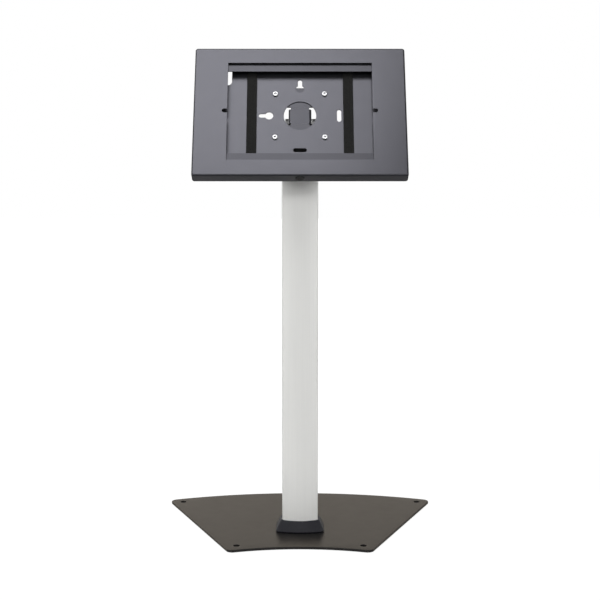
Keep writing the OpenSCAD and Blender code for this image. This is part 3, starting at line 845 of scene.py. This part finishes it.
PORT_R = 3.8 * MM
PORT_BORE = 2.1 * MM
GROOVE = 0.25 * MM
hollow = column_outline(-COLUMN_WALL)
wall = slab(column_outline(0, GROOVE), [hollow], COLUMN_LOW.z, COLUMN_HIGH.z, 0.25 * MM)
port = lathe(tube(PORT_BORE, PORT_R, COLUMN_LOW.z, COLUMN_HIGH.z), 32, closed=True)
column_shapes = [(wall, at_column())] + copies(port, at_spots(PORTS))
piece("extruded_column", "stand", ALUMINIUM, "column", column_shapes, crease=20)

COLLAR_H = COLLAR_HIGH.z - COLLAR_LOW.z


def collar():
    """The foot cover: an upright rim, a sloping skirt and a rounded lip round the column."""
    bm = bmesh.new()
    low = (COLUMN_W + 20 * MM, COLUMN_D + 20 * MM, 105 * MM, 9 * MM)
    high = (COLUMN_W + 6 * MM, COLUMN_D + 6 * MM, COLUMN_BOW + 12 * MM, COLUMN_CORNER + 3 * MM)
    rim = 3 * MM

    def level(share, out, z):
        w, d, bow, r = [a + (b - a) * share for a, b in zip(low, high)]
        return ring(bm, bowed_rect(w + 2 * out, d + 2 * out, bow + out, r + out), z)

    rings = [ring(bm, column_outline(0.3 * MM), 0), level(0, -1.3 * MM, 0)]
    rings += [level(0, -0.6 * MM, 0.4 * MM), level(0, -0.15 * MM, 1.1 * MM), level(0, 0, 2 * MM)]
    rings += [level(0, 0, rim - 0.4 * MM), level(0.01, -0.1 * MM, rim)]
    rings.append(level(0.05, -0.2 * MM, rim + 0.6 * MM))
    for i in range(1, 8):
        share = i / 8
        z = rim + 0.6 * MM + (COLLAR_H - rim - 1.4 * MM) * share
        rings.append(level(0.05 + 0.93 * share, 0, z))
    rings += [level(1, -0.05 * MM, COLLAR_H - 0.6 * MM), level(1, -0.5 * MM, COLLAR_H - 0.1 * MM)]
    rings += [level(1, -0.9 * MM, COLLAR_H), ring(bm, column_outline(0.5 * MM), COLLAR_H)]
    rings.append(ring(bm, column_outline(0.3 * MM), COLLAR_H - 0.2 * MM))
    bridge_all(bm, rings, closed=True)
    return bm


cover = [(collar(), at_column(COLLAR_LOW.z))]
piece("foot_cover", "stand", BLACK_PLASTIC, "base_cover", cover)

port_holes = [circle(HOLE_R, x, y, 32) for x, y in PORTS]
cap = slab(column_outline(0), port_holes, CAP_LOW.z, CAP_HIGH.z, 0.8 * MM)
piece("moulded_column_cap", "stand", BLACK_PLASTIC, "column_cap", [(cap, at_column())])

sunk_screw = screw(4.4 * MM, SINK_D, 2.05 * MM, 17.6 * MM, 0.8 * MM, "hex", domed=False)
sunk_places = [place @ TURN_OVER for place in at_spots(PORTS, BASE_LOW.z + SINK_D)]
sunk_shapes = copies(sunk_screw, sunk_places)
piece("socket_base_screws", "stand", BLACK_PAINT, "base_screws", sunk_shapes)

# Stand: neck

FLANGE_T = 5 * MM
FLANGE_TOP = NECK_LOW.z + FLANGE_T
NECK_HALF = 11.2 * MM
NECK_RISE = PIVOT.z - FLANGE_TOP
WASHER_T = 3.3 * MM


def neck_tongue():
    """The tongue in side view, from the flange up round its eye."""
    outline = [(-EYE_R, -NECK_RISE - MM), (EYE_R, -NECK_RISE - MM)]
    outline += arc(0, 0, EYE_R, 0, 180, 28)
    return slab(outline, [circle(BOLT_R + FIT)], -NECK_HALF, NECK_HALF, 0.9 * MM)


def neck_fillet():
    """The bead of weld where the tongue stands on the flange."""
    bm = bmesh.new()
    foot = round_rect(2 * NECK_HALF, 2 * EYE_R, 1.2 * MM)
    section = [(-MM, 0), (1.7 * MM, 0), (1.1 * MM, 0.5 * MM), (0.5 * MM, 1.0 * MM)]
    section += [(0.1 * MM, 1.9 * MM), (-MM, 1.9 * MM)]
    bridge_all(bm, [ring(bm, grown(foot, out), z) for out, z in section], closed=True)
    return bm


flange = slab(column_outline(-MM), port_holes, NECK_LOW.z, FLANGE_TOP, 0.7 * MM)
neck_shapes = [(flange, at_column()), (neck_tongue(), STAND_PIVOT @ ALONG)]
neck_shapes.append((neck_fillet(), at_column(FLANGE_TOP)))
piece("welded_neck", "stand", BLACK_PAINT, "neck_bracket", neck_shapes)

neck_screw = screw(3.8 * MM, M4_HEAD_H, M4_R, 25 * MM, M4_PITCH, "cross")
neck_screws = copies(neck_screw, at_spots(PORTS, FLANGE_TOP))
piece("pan_neck_screws", "stand", ZINC, "neck_screws", neck_screws)

washer = lathe(eased(tube(BOLT_R + FIT, EYE_R - MM, 0, WASHER_T), 0.3 * MM), closed=True)
washer_places = [on_axis(x, STAND_PIVOT) for x in (NECK_HALF, -NECK_HALF - WASHER_T)]
washers = copies(washer, washer_places)
piece("turned_friction_washers", "stand", NYLON, "friction_washers", washers)

# Tilt plate and pivot

LUG_H = (PLATE_H - WAIST_H) / 2
LUG_MID = (PLATE_H + WAIST_H) / 4
PLATE_CORNER = 3 * MM
BEND_IN = 1.5 * MM
EAR_HALF = WAIST_H / 2 - EAR_NOTCH_H
screw_spots = [(x * SCREW_SQUARE / 2, z * SCREW_SQUARE / 2) for x in (-1, 1) for z in (-1, 1)]


def lug(sign):
    """Upper or lower half of the plate, with its two screw holes."""
    holes = [circle(HOLE_R, x, z, 32) for x, z in screw_spots if z * sign > 0]
    return slab(round_rect(PLATE_W, LUG_H, PLATE_CORNER, 0, sign * LUG_MID), holes, 0, PLATE_T)


def waist_strip(sign):
    """The flat waist between two notches, a hair thinner than the parts that it joins."""
    hair = 0.03 * MM
    middle = sign * (WAIST_H - EAR_NOTCH_H) / 2
    width = 2 * (EAR_OUT - EAR_NOTCH_IN)
    strip = round_rect(width, EAR_NOTCH_H + MM, 0.1 * MM, 0, middle)
    return slab(strip, [], hair, PLATE_T - hair, 0.2 * MM)


def waist_channel():
    """Channel bent from the plate: the waist with the roots of both ears."""
    root = TRAY_BACK + 8 * MM
    bend = PLATE_T + BEND_IN
    outer = [(-EAR_OUT, root), (-EAR_OUT, TRAY_BACK), (EAR_OUT, TRAY_BACK), (EAR_OUT, root)]
    inner = [(EAR_IN, root), (EAR_IN, PLATE_BACK), (-EAR_IN, PLATE_BACK), (-EAR_IN, root)]
    outline = eased(outer + inner, [0, bend, bend, 0, 0, BEND_IN, BEND_IN, 0], 6)
    return slab(outline, [], -EAR_HALF, EAR_HALF, 0.35 * MM)


def ear():
    """Ear in depth and height, from behind the bend to its round eye."""
    root = TRAY_BACK + 5 * MM
    outline = [(root, -EAR_HALF)] + arc(PIVOT_SET, 0, EYE_R, -90, 90, 28) + [(root, EAR_HALF)]
    return slab(outline, [circle(BOLT_R + FIT, PIVOT_SET, 0)], 0, PLATE_T, 0.35 * MM)


plate_shapes = [(lug(sign), at_sheet(PLATE_BACK)) for sign in (1, -1)]
plate_shapes += [(waist_strip(sign), at_sheet(PLATE_BACK)) for sign in (1, -1)]
plate_shapes.append((waist_channel(), in_head(0, 0, 0)))
plate_shapes += [(ear(), across(x)) for x in (EAR_IN, -EAR_OUT)]
piece("bent_tilt_plate", "head", SHADED_GREY_PAINT, "tilt_plate", plate_shapes)

BOLT_HEX = 13 * MM
BOLT_HEAD = 5.3 * MM
SPRING_T = 1.5 * MM
NUT_T = 6.5 * MM
BOLT_END = EAR_OUT + SPRING_T + NUT_T + SCREW_END
BOLT_PITCH = 1.25 * MM
shank = [(0, -EAR_OUT - 0.5 * MM), (BOLT_R, -EAR_OUT - 0.5 * MM), (BOLT_R, EAR_OUT - 2 * MM)]
shank += thread(BOLT_R, EAR_OUT - 1.5 * MM, BOLT_END - 0.6 * MM, BOLT_PITCH, 0.6 * MM)
shank += [(BOLT_R - 1.1 * MM, BOLT_END), (0, BOLT_END)]
bolt_head = hex_body(BOLT_HEX, 0, BOLT_HEAD, 0, both=False)
bolt_shapes = [(lathe(shank), on_axis(0)), (bolt_head, on_axis(-EAR_OUT) @ TURN_OVER)]
piece("hex_pivot_bolt", "head", ZINC, "pivot_bolt", bolt_shapes)


def split_ring(inner, outer, thick):
    """Spring washer: a square-cut ring with a slanted split."""
    bm = bmesh.new()
    corners = eased(tube(inner, outer, 0, thick), 0.15 * MM, 2)
    steps = 56
    slant = radians(8)
    rings = []
    for i in range(steps + 1):
        a = radians(6 + 348 * i / steps)
        loop = []
        for r, z in corners:
            turn = a + slant * (z / thick - 0.5)
            loop.append(bm.verts.new((r * cos(turn), r * sin(turn), z)))
        rings.append(loop)
    return bridge_solid(bm, rings)


spring = split_ring(BOLT_R + 0.1 * MM, BOLT_HEX / 2 + MM, SPRING_T)
piece("split_spring_washer", "head", ZINC, "spring_washer", [(spring, on_axis(EAR_OUT))])
pivot_nut = hex_body(BOLT_HEX, 0, NUT_T, BOLT_R + FIT)
piece("hex_pivot_nut", "head", ZINC, "pivot_nut", [(pivot_nut, on_axis(EAR_OUT + SPRING_T))])

# Enclosure: tray

BAR_SCREW_Z = BAR_OUTER - BAR_SCREW_SET
LEAF_H = 18 * MM
WELD_R = 2.6 * MM
WELD_X = 4.2 * MM
WELD_DROP = 12.5 * MM
LOCK_ROOM = 8.4 * MM
bar_spots = [(x * BAR_X, z * BAR_SCREW_Z) for x in (-1, 1) for z in (-1, 1)]
slot = stadium(SLOT_L, SLOT_W)
tray_holes = [circle(MIDDLE_HOLE_R, steps=96)]
tray_holes += [circle(HOLE_R, x, z, 32) for x, z in screw_spots + bar_spots]
tray_holes += [turned(keyhole(), 90, 0, SLOT_RING), turned(keyhole(), 180, -SLOT_RING, 0)]
tray_holes += [turned(slot, 90, SLOT_RING, 0), turned(slot, 0, 0, -SLOT_RING)]
tray_holes += [round_rect(*CAMERA_HOLE, *CAMERA_AT, steps=8)]


def knuckle(length):
    section = eased(tube(PIN_R + FIT, KNUCKLE_R, 0, length), 0.3 * MM, 2)
    return lathe(section, 40, closed=True)


weld = [(0, 0), (WELD_R, 0), (WELD_R * 0.9, 0.12 * MM), (WELD_R * 0.55, 0.2 * MM), (0, 0.2 * MM)]
tray_pan = pan(
    TRAY_W, TRAY_H, CASE_CORNER - SHEET, TRAY_BEND, TRAY_BACK - TRAY_LIP, tray_holes
)
tray_shapes = [(tray_pan, at_sheet(TRAY_BACK))]
for x in (-HINGE_X, HINGE_X):
    leaf = round_rect(TRAY_KNUCKLE, LEAF_H, 1.5 * MM, x, HINGE_Z - LEAF_H / 2)
    tray_shapes.append((slab(leaf, [], 0, SHEET), at_sheet(TRAY_BACK + SHEET)))
    tray_shapes.append((knuckle(TRAY_KNUCKLE), hinge_place(x - TRAY_KNUCKLE / 2)))
    for step in (-WELD_X, WELD_X):
        spot = at_back(TRAY_BACK + SHEET, x + step, HINGE_Z - WELD_DROP)
        tray_shapes.append((lathe(weld, 24), spot))
tray = piece("folded_back_tray", "head", TRAY_PAINT, "back_tray", tray_shapes)
tray_floor = -TRAY_H / 2
lock_room = box_bm(
    (-LOCK_ROOM, FRONT, tray_floor - MM), (LOCK_ROOM, FRONT + TRAY_SET, tray_floor + 2.2 * MM)
)
carve(tray, [(lock_room, HEAD)])


def m4_set(kind, seat, nut_seat, spots, turn=0):
    """Screws with nuts behind; turn, in radians for a metre of x, sets their recesses apart."""
    places = [at_sheet(seat, x, z) @ Matrix.Rotation(x * turn, 4, "Z") for x, z in spots]
    length = nut_seat + M4_NUT_T + SCREW_END - seat
    screws = copies(screw(M4_HEAD_R, M4_HEAD_H, M4_R, length, M4_PITCH, "cross"), places)
    piece(f"pan_{kind}_screws", "head", ZINC, f"{kind}_screws", screws)
    nut = hex_body(M4_NUT, 0, M4_NUT_T, M4_R + FIT)
    nuts = copies(nut, [at_back(nut_seat, x, z) for x, z in spots])
    piece(f"hex_{kind}_nuts", "head", ZINC, f"{kind}_nuts", nuts)


m4_set("vesa", TRAY_SET, PLATE_BACK, screw_spots, turn=9)
m4_set("bar", BAR_BACK - SHEET - RUN_GAP, TRAY_BACK, bar_spots)


def foam_strip(name, side, node):
    """A die-cut foam strip: soft edges and a slightly uneven face."""
    width = FOAM_HIGH.x - FOAM_LOW.x
    length = FOAM_HIGH.z - FOAM_LOW.z
    thick = FOAM_HIGH.y - FOAM_LOW.y
    soft = 0.7 * MM
    end_drop = 0.25 * MM
    unevenness = 0.3 * MM
    across_steps, along_steps = 10, 90
    bm = bmesh.new()
    section = [(-width / 2, 0), (width / 2, 0), (width / 2, thick), (-width / 2, thick)]
    section = eased(section, [0, 0, soft, soft], 4)
    shares = [i / across_steps - 0.5 for i in range(across_steps, -1, -1)]
    top = [(share * (width - 2 * soft), thick) for share in shares]
    section = section[:6] + top + section[-5:]
    rings = []
    for k in range(along_steps + 1):
        z = (k / along_steps - 0.5) * length
        sink_in = end_drop if k in (0, along_steps) else 0.0
        loop = []
        for x, y in section:
            uneven = abs(noise.noise(Vector((x * 160 + side * 7, z * 110, 3.0)))) * unevenness
            drop = uneven + sink_in if y > thick * 0.6 else 0.0
            loop.append(bm.verts.new((x, y - drop, z)))
        rings.append(loop)
    bridge_solid(bm, rings)
    middle = side * (FOAM_HIGH.x + FOAM_LOW.x) / 2
    place = in_head(middle, TRAY_SET, 0) @ Matrix.Diagonal((1, -1, 1, 1))
    obj = piece(name, "head", FOAM, node, [(bm, place)], crease=50)


foam_strip("foam_pad_left", -1, "foam_strip_left")
foam_strip("foam_pad_right", 1, "foam_strip_right")

# Enclosure: holding bars

BAR_FOOT_W = 20 * MM
BAR_FOOT_H = 20.5 * MM
BAR_TRAVEL = 7 * MM
BAR_SLOT_W = 2 * (M4_R + RUN_GAP)
STOP_X = 45 * MM
STOP_W = 30 * MM
STOP_SET = 3.7 * MM
STOP_D = 7 * MM
ACCESS_R = 4.25 * MM
LOCK_CUT = 15.5 * MM
KEEPER_ROOM = 11.6 * MM


def bar_shapes(sign):
    """Folded bar: strip and web, two slotted feet and two stops; sign -1 gives the lower one."""
    outer, inner = BAR_OUTER, BAR_INNER
    angle = [
        (BAR_SET, inner), (BAR_SET + SHEET, inner), (BAR_SET + SHEET, outer - SHEET),
        (BAR_BACK, outer - SHEET), (BAR_BACK, outer), (BAR_SET, outer),
    ]
    section = eased(angle, [0, 0, BAR_BEND - SHEET, 0, 0, BAR_BEND], 5)
    flipped = HEAD @ Matrix.Diagonal((1, 1, sign, 1))
    front_plane = flipped @ Matrix.Translation((0, FRONT, 0))
    shapes = [(slab(section, [], -BAR_L / 2, BAR_L / 2), front_plane @ ALONG)]
    foot_place = flipped @ Matrix.Translation((0, FRONT + BAR_BACK, 0)) @ QUARTER_X
    stop_place = flipped @ Matrix.Translation((0, FRONT, inner + STOP_SET))
    foot_z = outer - BAR_FOOT_H / 2 - 0.2 * MM
    slot_z = outer - BAR_SCREW_SET - BAR_TRAVEL / 2
    stop_mid = BAR_SET + (SHEET + STOP_D) / 2 + 0.4 * MM
    long_hole = stadium(BAR_TRAVEL + BAR_SLOT_W, BAR_SLOT_W)
    for side in (-1, 1):
        foot = round_rect(BAR_FOOT_W, BAR_FOOT_H, 1.2 * MM, side * BAR_X, foot_z)
        hole = turned(long_hole, 90, side * BAR_X, slot_z)
        shapes.append((slab(foot, [hole], 0, SHEET), foot_place))
        stop = round_rect(STOP_W, SHEET + STOP_D - 0.8 * MM, 0.7 * MM, side * STOP_X, stop_mid)
        shapes.append((slab(stop, [], 0, SHEET), stop_place))
    return shapes


def access_holes(sign):
    """Holes in a bar's strip that let a screwdriver reach the screws."""
    places = [at_back(BAR_SET - MM, x, z) for x, z in bar_spots if z * sign > 0]
    return copies(lathe(rod(ACCESS_R, -MM, 4 * MM), 40), places)


top_bar = piece("folded_upper_bar", "top_bar", SHADED_GREY_PAINT, "upper_bar", bar_shapes(1))
carve(top_bar, access_holes(1))
low_bar = piece("folded_lower_bar", "bottom_bar", SHADED_GREY_PAINT, "lower_bar", bar_shapes(-1))
low_cut = box_bm(
    (-LOCK_CUT, FRONT, -BAR_OUTER - MM), (LOCK_CUT, FRONT + TRAY_SET, -BAR_OUTER + KEEPER_ROOM)
)
carve(low_bar, access_holes(-1) + [(low_cut, HEAD)])

# Enclosure: front frame with hinges

HINGE_HALF = TRAY_KNUCKLE / 2 + RUN_GAP + FRAME_KNUCKLE
KNUCKLE_ROOM = TRAY_KNUCKLE / 2 + RUN_GAP
TAB_D = HINGE_SET - CASE_D + MM
LOCK_BARREL_R = 5 * MM
LOCK = in_head(0, LOCK_SET, -CASE_H / 2)


def window_outline():
    """The window with a round-ended notch on each side."""
    w, h, r = WINDOW_W / 2, WINDOW_H / 2, NOTCH_H / 2
    reach = w + NOTCH_L - r
    right = [(w, -h), (w, -r)] + arc(reach, 0, r, -90, 90, 12) + [(w, r), (w, h)]
    return right + [(-x, -y) for x, y in right]


front_pan = pan(CASE_W, CASE_H, CASE_CORNER, CASE_BEND, CASE_D, [window_outline()])
frame_shapes = [(front_pan, at_back(0))]
tab_place = HEAD @ Matrix.Translation((0, 0, CASE_H / 2 - SHEET))
tab_y = FRONT + CASE_D - MM + TAB_D / 2
knuckle_front = FRONT + HINGE_SET - KNUCKLE_R - 2 * RUN_GAP
frame_cuts = []
for x in (-HINGE_X, HINGE_X):
    for end in (-1, 1):
        middle = x + end * (HINGE_HALF - FRAME_KNUCKLE / 2)
        frame_shapes.append((knuckle(FRAME_KNUCKLE), hinge_place(middle - FRAME_KNUCKLE / 2)))
        tab = round_rect(FRAME_KNUCKLE, TAB_D, 0.5 * MM, middle, tab_y)
        frame_shapes.append((slab(tab, [], 0, SHEET), tab_place))
    room = box_bm(
        (x - KNUCKLE_ROOM, knuckle_front, CASE_H / 2 - 3 * MM),
        (x + KNUCKLE_ROOM, FRONT + CASE_D + 3 * MM, CASE_H / 2 + MM),
    )
    frame_cuts.append((room, HEAD))
front = piece("folded_front_frame", "frame", FACE_PAINT, "front_frame", frame_shapes)
lock_hole = lathe(rod(LOCK_BARREL_R + 0.25 * MM, -2 * MM, 2.5 * MM))
carve(front, frame_cuts + [(lock_hole, LOCK)])

PIN_L = TRAY_KNUCKLE + 2 * RUN_GAP + 2 * FRAME_KNUCKLE
pin = lathe(eased(rod(PIN_R, 0, PIN_L), 0.4 * MM, 3, False), 32)
pins = copies(pin, [hinge_place(x - PIN_L / 2) for x in (-HINGE_X, HINGE_X)])
piece("hinge_pin_pair", "head", ZINC, "hinge_pins", pins)

# Lock

FACE_T = 1.2 * MM
FACE_R = 7 * MM
BARREL_L = 10 * MM
LOCK_PITCH = 1.0 * MM
LOCK_HEX = 12 * MM
LOCK_NUT_T = 3 * MM
PLUG_R = 3.5 * MM
bore = PLUG_R + FIT
body = [(bore, -FACE_T + 0.3 * MM), (bore + 0.3 * MM, -FACE_T), (FACE_R - 0.9 * MM, -FACE_T)]
body += [(FACE_R, -0.5 * MM), (FACE_R, 0), (LOCK_BARREL_R, 0)]
body += thread(LOCK_BARREL_R, 0.6 * MM, BARREL_L - 0.6 * MM, LOCK_PITCH, 0.4 * MM)
body += [(LOCK_BARREL_R - 0.5 * MM, BARREL_L), (bore, BARREL_L)]
lock_shapes = [(lathe(body, 64, closed=True), LOCK)]
piece("threaded_lock_body", "frame", NICKEL, "lock_body", lock_shapes)
lock_nut = hex_body(LOCK_HEX, SHEET, SHEET + LOCK_NUT_T, LOCK_BARREL_R + FIT)
lock_nut_place = LOCK @ Matrix.Rotation(pi / 6, 4, "Z")
piece("hex_lock_nut", "frame", NICKEL, "lock_nut", [(lock_nut, lock_nut_place)])

CAM_LOW = BARREL_L + 2 * RUN_GAP
CAM_T = 2 * MM
CAM_W = 5 * MM
CAM_REACH = 6.4 * MM
STUD_R = 1.75 * MM
KEY_X, KEY_Y, KEY_DEEP = 0.4 * MM, 2.6 * MM, 6 * MM


def plug():
    """The turning plug: a key slot with a bevelled mouth, and a stud for the cam."""
    bm = bmesh.new()
    steps = 96
    mouth = 0.25 * MM
    bevel = 0.3 * MM
    levels = [
        (lambda a: box_r(KEY_X, KEY_Y, a), -FACE_T + KEY_DEEP),
        (lambda a: box_r(KEY_X, KEY_Y, a), -FACE_T + mouth),
        (lambda a: box_r(KEY_X + mouth, KEY_Y + mouth, a), -FACE_T),
        (lambda a: PLUG_R - bevel, -FACE_T), (lambda a: PLUG_R, -FACE_T + bevel),
        (lambda a: PLUG_R, CAM_LOW), (lambda a: STUD_R, CAM_LOW), (lambda a: STUD_R, CAM_LOW + CAM_T),
    ]
    return bridge_solid(bm, [ring(bm, polar(radius, steps), z) for radius, z in levels])


piece("keyed_lock_plug", "lock", NICKEL, "lock_plug", [(plug(), LOCK)])
cam_outline = arc(0, CAM_REACH - CAM_W / 2, CAM_W / 2, 0, 180, 16)
cam_outline += arc(0, 0, CAM_W / 2, 180, 360, 16)
stud_hole = circle(STUD_R + FIT, steps=32)
cam = slab(cam_outline, [stud_hole], CAM_LOW, CAM_LOW + CAM_T, 0.25 * MM)
piece("lock_cam_lever", "lock", NICKEL, "lock_cam", [(cam, LOCK)])
cam_screw = screw(2.3 * MM, 2 * MM, MM, 6 * MM, 0.4 * MM, "cross")
cam_screw_place = LOCK @ Matrix.Translation((0, 0, CAM_LOW + CAM_T))
piece("pan_cam_screw", "lock", ZINC, "cam_screw", [(cam_screw, cam_screw_place)])

keeper_front = KEEPER_LOW.y - FRONT
keeper_arm = KEEPER_HIGH.z - 10 * MM
keeper_outline = [
    (keeper_front, KEEPER_LOW.z), (keeper_front + SHEET, KEEPER_LOW.z),
    (keeper_front + SHEET, keeper_arm), (TRAY_SET, keeper_arm), (TRAY_SET, KEEPER_HIGH.z),
    (TRAY_SET - SHEET, KEEPER_HIGH.z), (TRAY_SET - SHEET, keeper_arm + SHEET),
    (keeper_front, keeper_arm + SHEET),
]
keeper_eases = [0, 0, 0.4 * MM, 1.2 * MM, 0, 0, 0.4 * MM, 1.4 * MM]
keeper_section = eased(keeper_outline, keeper_eases, 4)
keeper = slab(keeper_section, [], 0, KEEPER_HIGH.x - KEEPER_LOW.x, 0.2 * MM)
piece("bent_lock_keeper", "head", ZINC, "lock_keeper", [(keeper, across(KEEPER_LOW.x))])

# Flat faces keep flat normals beside their rounded edges
for obj in PIECES:
    normals = obj.modifiers.new("normals", "WEIGHTED_NORMAL")
    normals.keep_sharp = True
    normals.weight = 100


# Stage: floor, world, lamps and camera

def seen_directly(tree, path):
    """1 for camera and transmission rays and 0 for the rest."""
    camera_ray, through_ray = path.outputs["Is Camera Ray"], path.outputs["Is Transmission Ray"]
    return math_node(tree, "MAXIMUM", camera_ray, through_ray)


# Light falls on a plain floor that is pale round the foot and dark further off. The camera sees
# white, with a share of the plain floor near the object.
FLOOR_HALF = 9.0
FLOOR_PALE, PALE_TO = 0.57, 0.4
FLOOR_DARK, DARK_FROM = 0.06, 0.95
WHITE_SHARE, SHARE_TO = 0.8, 0.6
ALL_WHITE_FROM = 1.6
FLOOR_WHITE = 1.2
floor_mesh = bpy.data.meshes.new("floor")
corner_signs = ((-1, -1), (1, -1), (1, 1), (-1, 1))
floor_corners = [(x * FLOOR_HALF, y * FLOOR_HALF, 0) for x, y in corner_signs]
floor_mesh.from_pydata(floor_corners, [], [(0, 1, 2, 3)])
floor = new_object("floor", floor_mesh)
floor_paint = bpy.data.materials.new("pale_floor")
floor_paint.use_nodes = True
tree = floor_paint.node_tree
tree.nodes.remove(tree.nodes["Principled BSDF"])
away = new_node(tree, "VectorMath", Vector=new_node(tree, "TexCoord").outputs["Object"])
away.operation = "LENGTH"
distance = away.outputs["Value"]
shade = map_range(tree, distance, PALE_TO, DARK_FROM, FLOOR_PALE, FLOOR_DARK)
plain = new_node(tree, "BsdfDiffuse", Color=shade)
bright = new_node(tree, "Emission", Strength=FLOOR_WHITE)
direct = seen_directly(tree, new_node(tree, "LightPath"))
share = map_range(tree, distance, SHARE_TO, ALL_WHITE_FROM, WHITE_SHARE, 1.0)
mix = new_node(tree, "MixShader", Fac=math_node(tree, "MULTIPLY", direct, share))
tree.links.new(plain.outputs["BSDF"], mix.inputs[1])
tree.links.new(bright.outputs["Emission"], mix.inputs[2])
tree.links.new(mix.outputs["Shader"], tree.nodes["Material Output"].inputs["Surface"])
floor_mesh.materials.append(floor_paint)

# Glossy rays see a white backdrop round the horizon and a dim studio above it
WORLD_LIGHT = 0.28
BACKDROP_TO = 0.2
DIM_FROM = 0.55
DIM_STUDIO = 0.12
world = bpy.data.worlds.new("studio")
bpy.context.scene.world = world
world.use_nodes = True
tree = world.node_tree
sky = tree.nodes["Background"]
sky.inputs["Color"].default_value = (1, 1, 1, 1)
path = new_node(tree, "LightPath")
direction = new_node(tree, "TexCoord").outputs["Generated"]
height = new_node(tree, "SeparateXYZ", Vector=direction).outputs["Z"]
horizon = map_range(tree, height, BACKDROP_TO, DIM_FROM, 1.0, DIM_STUDIO)
glossy = new_node(tree, "Mix", Factor=path.outputs["Is Glossy Ray"], A=WORLD_LIGHT, B=horizon)
direct = seen_directly(tree, path)
strength = new_node(tree, "Mix", Factor=direct, A=glossy.outputs["Result"], B=1.0)
tree.links.new(strength.outputs["Result"], sky.inputs["Strength"])


def softbox(name, place, target, width, height, radiance):
    """An area lamp of a brightness, aimed at a point."""
    lamp = bpy.data.lights.new(name, "AREA")
    lamp.shape = "RECTANGLE"
    lamp.size = width
    lamp.size_y = height
    lamp.energy = radiance * pi * width * height
    obj = new_object(name, lamp)
    obj.location = place
    obj.rotation_euler = (Vector(target) - Vector(place)).to_track_quat("-Z", "Y").to_euler()


HEAD_MIDDLE = (0, -0.06, 0.66)
COLUMN_MIDDLE = (0, -0.05, 0.35)
COLUMN_FACE = (0, -0.02, 0.4)
STAND_MIDDLE = (0, 0, 0.4)
softbox("key", (-0.31, -0.77, 2.07), HEAD_MIDDLE, 1.26, 0.85, 6.2)
softbox("left_fill", (-1.42, -1.16, 1.0), COLUMN_MIDDLE, 0.9, 1.2, 0.99)
softbox("right_fill", (1.42, -1.16, 1.0), COLUMN_MIDDLE, 0.9, 1.2, 1.11)
softbox("left_kick", (-1.6, -0.45, 0.7), COLUMN_FACE, 0.7, 1.3, 1.5)
softbox("right_kick", (1.6, -0.45, 0.7), COLUMN_FACE, 0.7, 1.3, 1.3)
softbox("front_fill", (0, -2.3, 1.55), STAND_MIDDLE, 2.2, 0.45, 3.2)
softbox("rear_fill", (-1.3, 1.9, 1.7), STAND_MIDDLE, 1.6, 1.6, 2.2)

IMAGE = 600
FOCAL_PX = 1271.06
SENSOR = 36.0
CAMERA_AWAY = 1.96633
CAMERA_HEIGHT = 0.60658
CAMERA_DIP = 6.8
camera_data = bpy.data.cameras.new("camera")
camera_data.sensor_width = SENSOR
camera_data.lens = FOCAL_PX / IMAGE * SENSOR
camera = new_object("camera", camera_data)
camera.location = (0, COLUMN_Y - CAMERA_AWAY, CAMERA_HEIGHT)
camera.rotation_euler = (radians(90 - CAMERA_DIP), 0, 0)
bpy.context.scene.camera = camera
bpy.context.scene.view_settings.view_transform = "Standard"

bpy.context.view_layer.update()
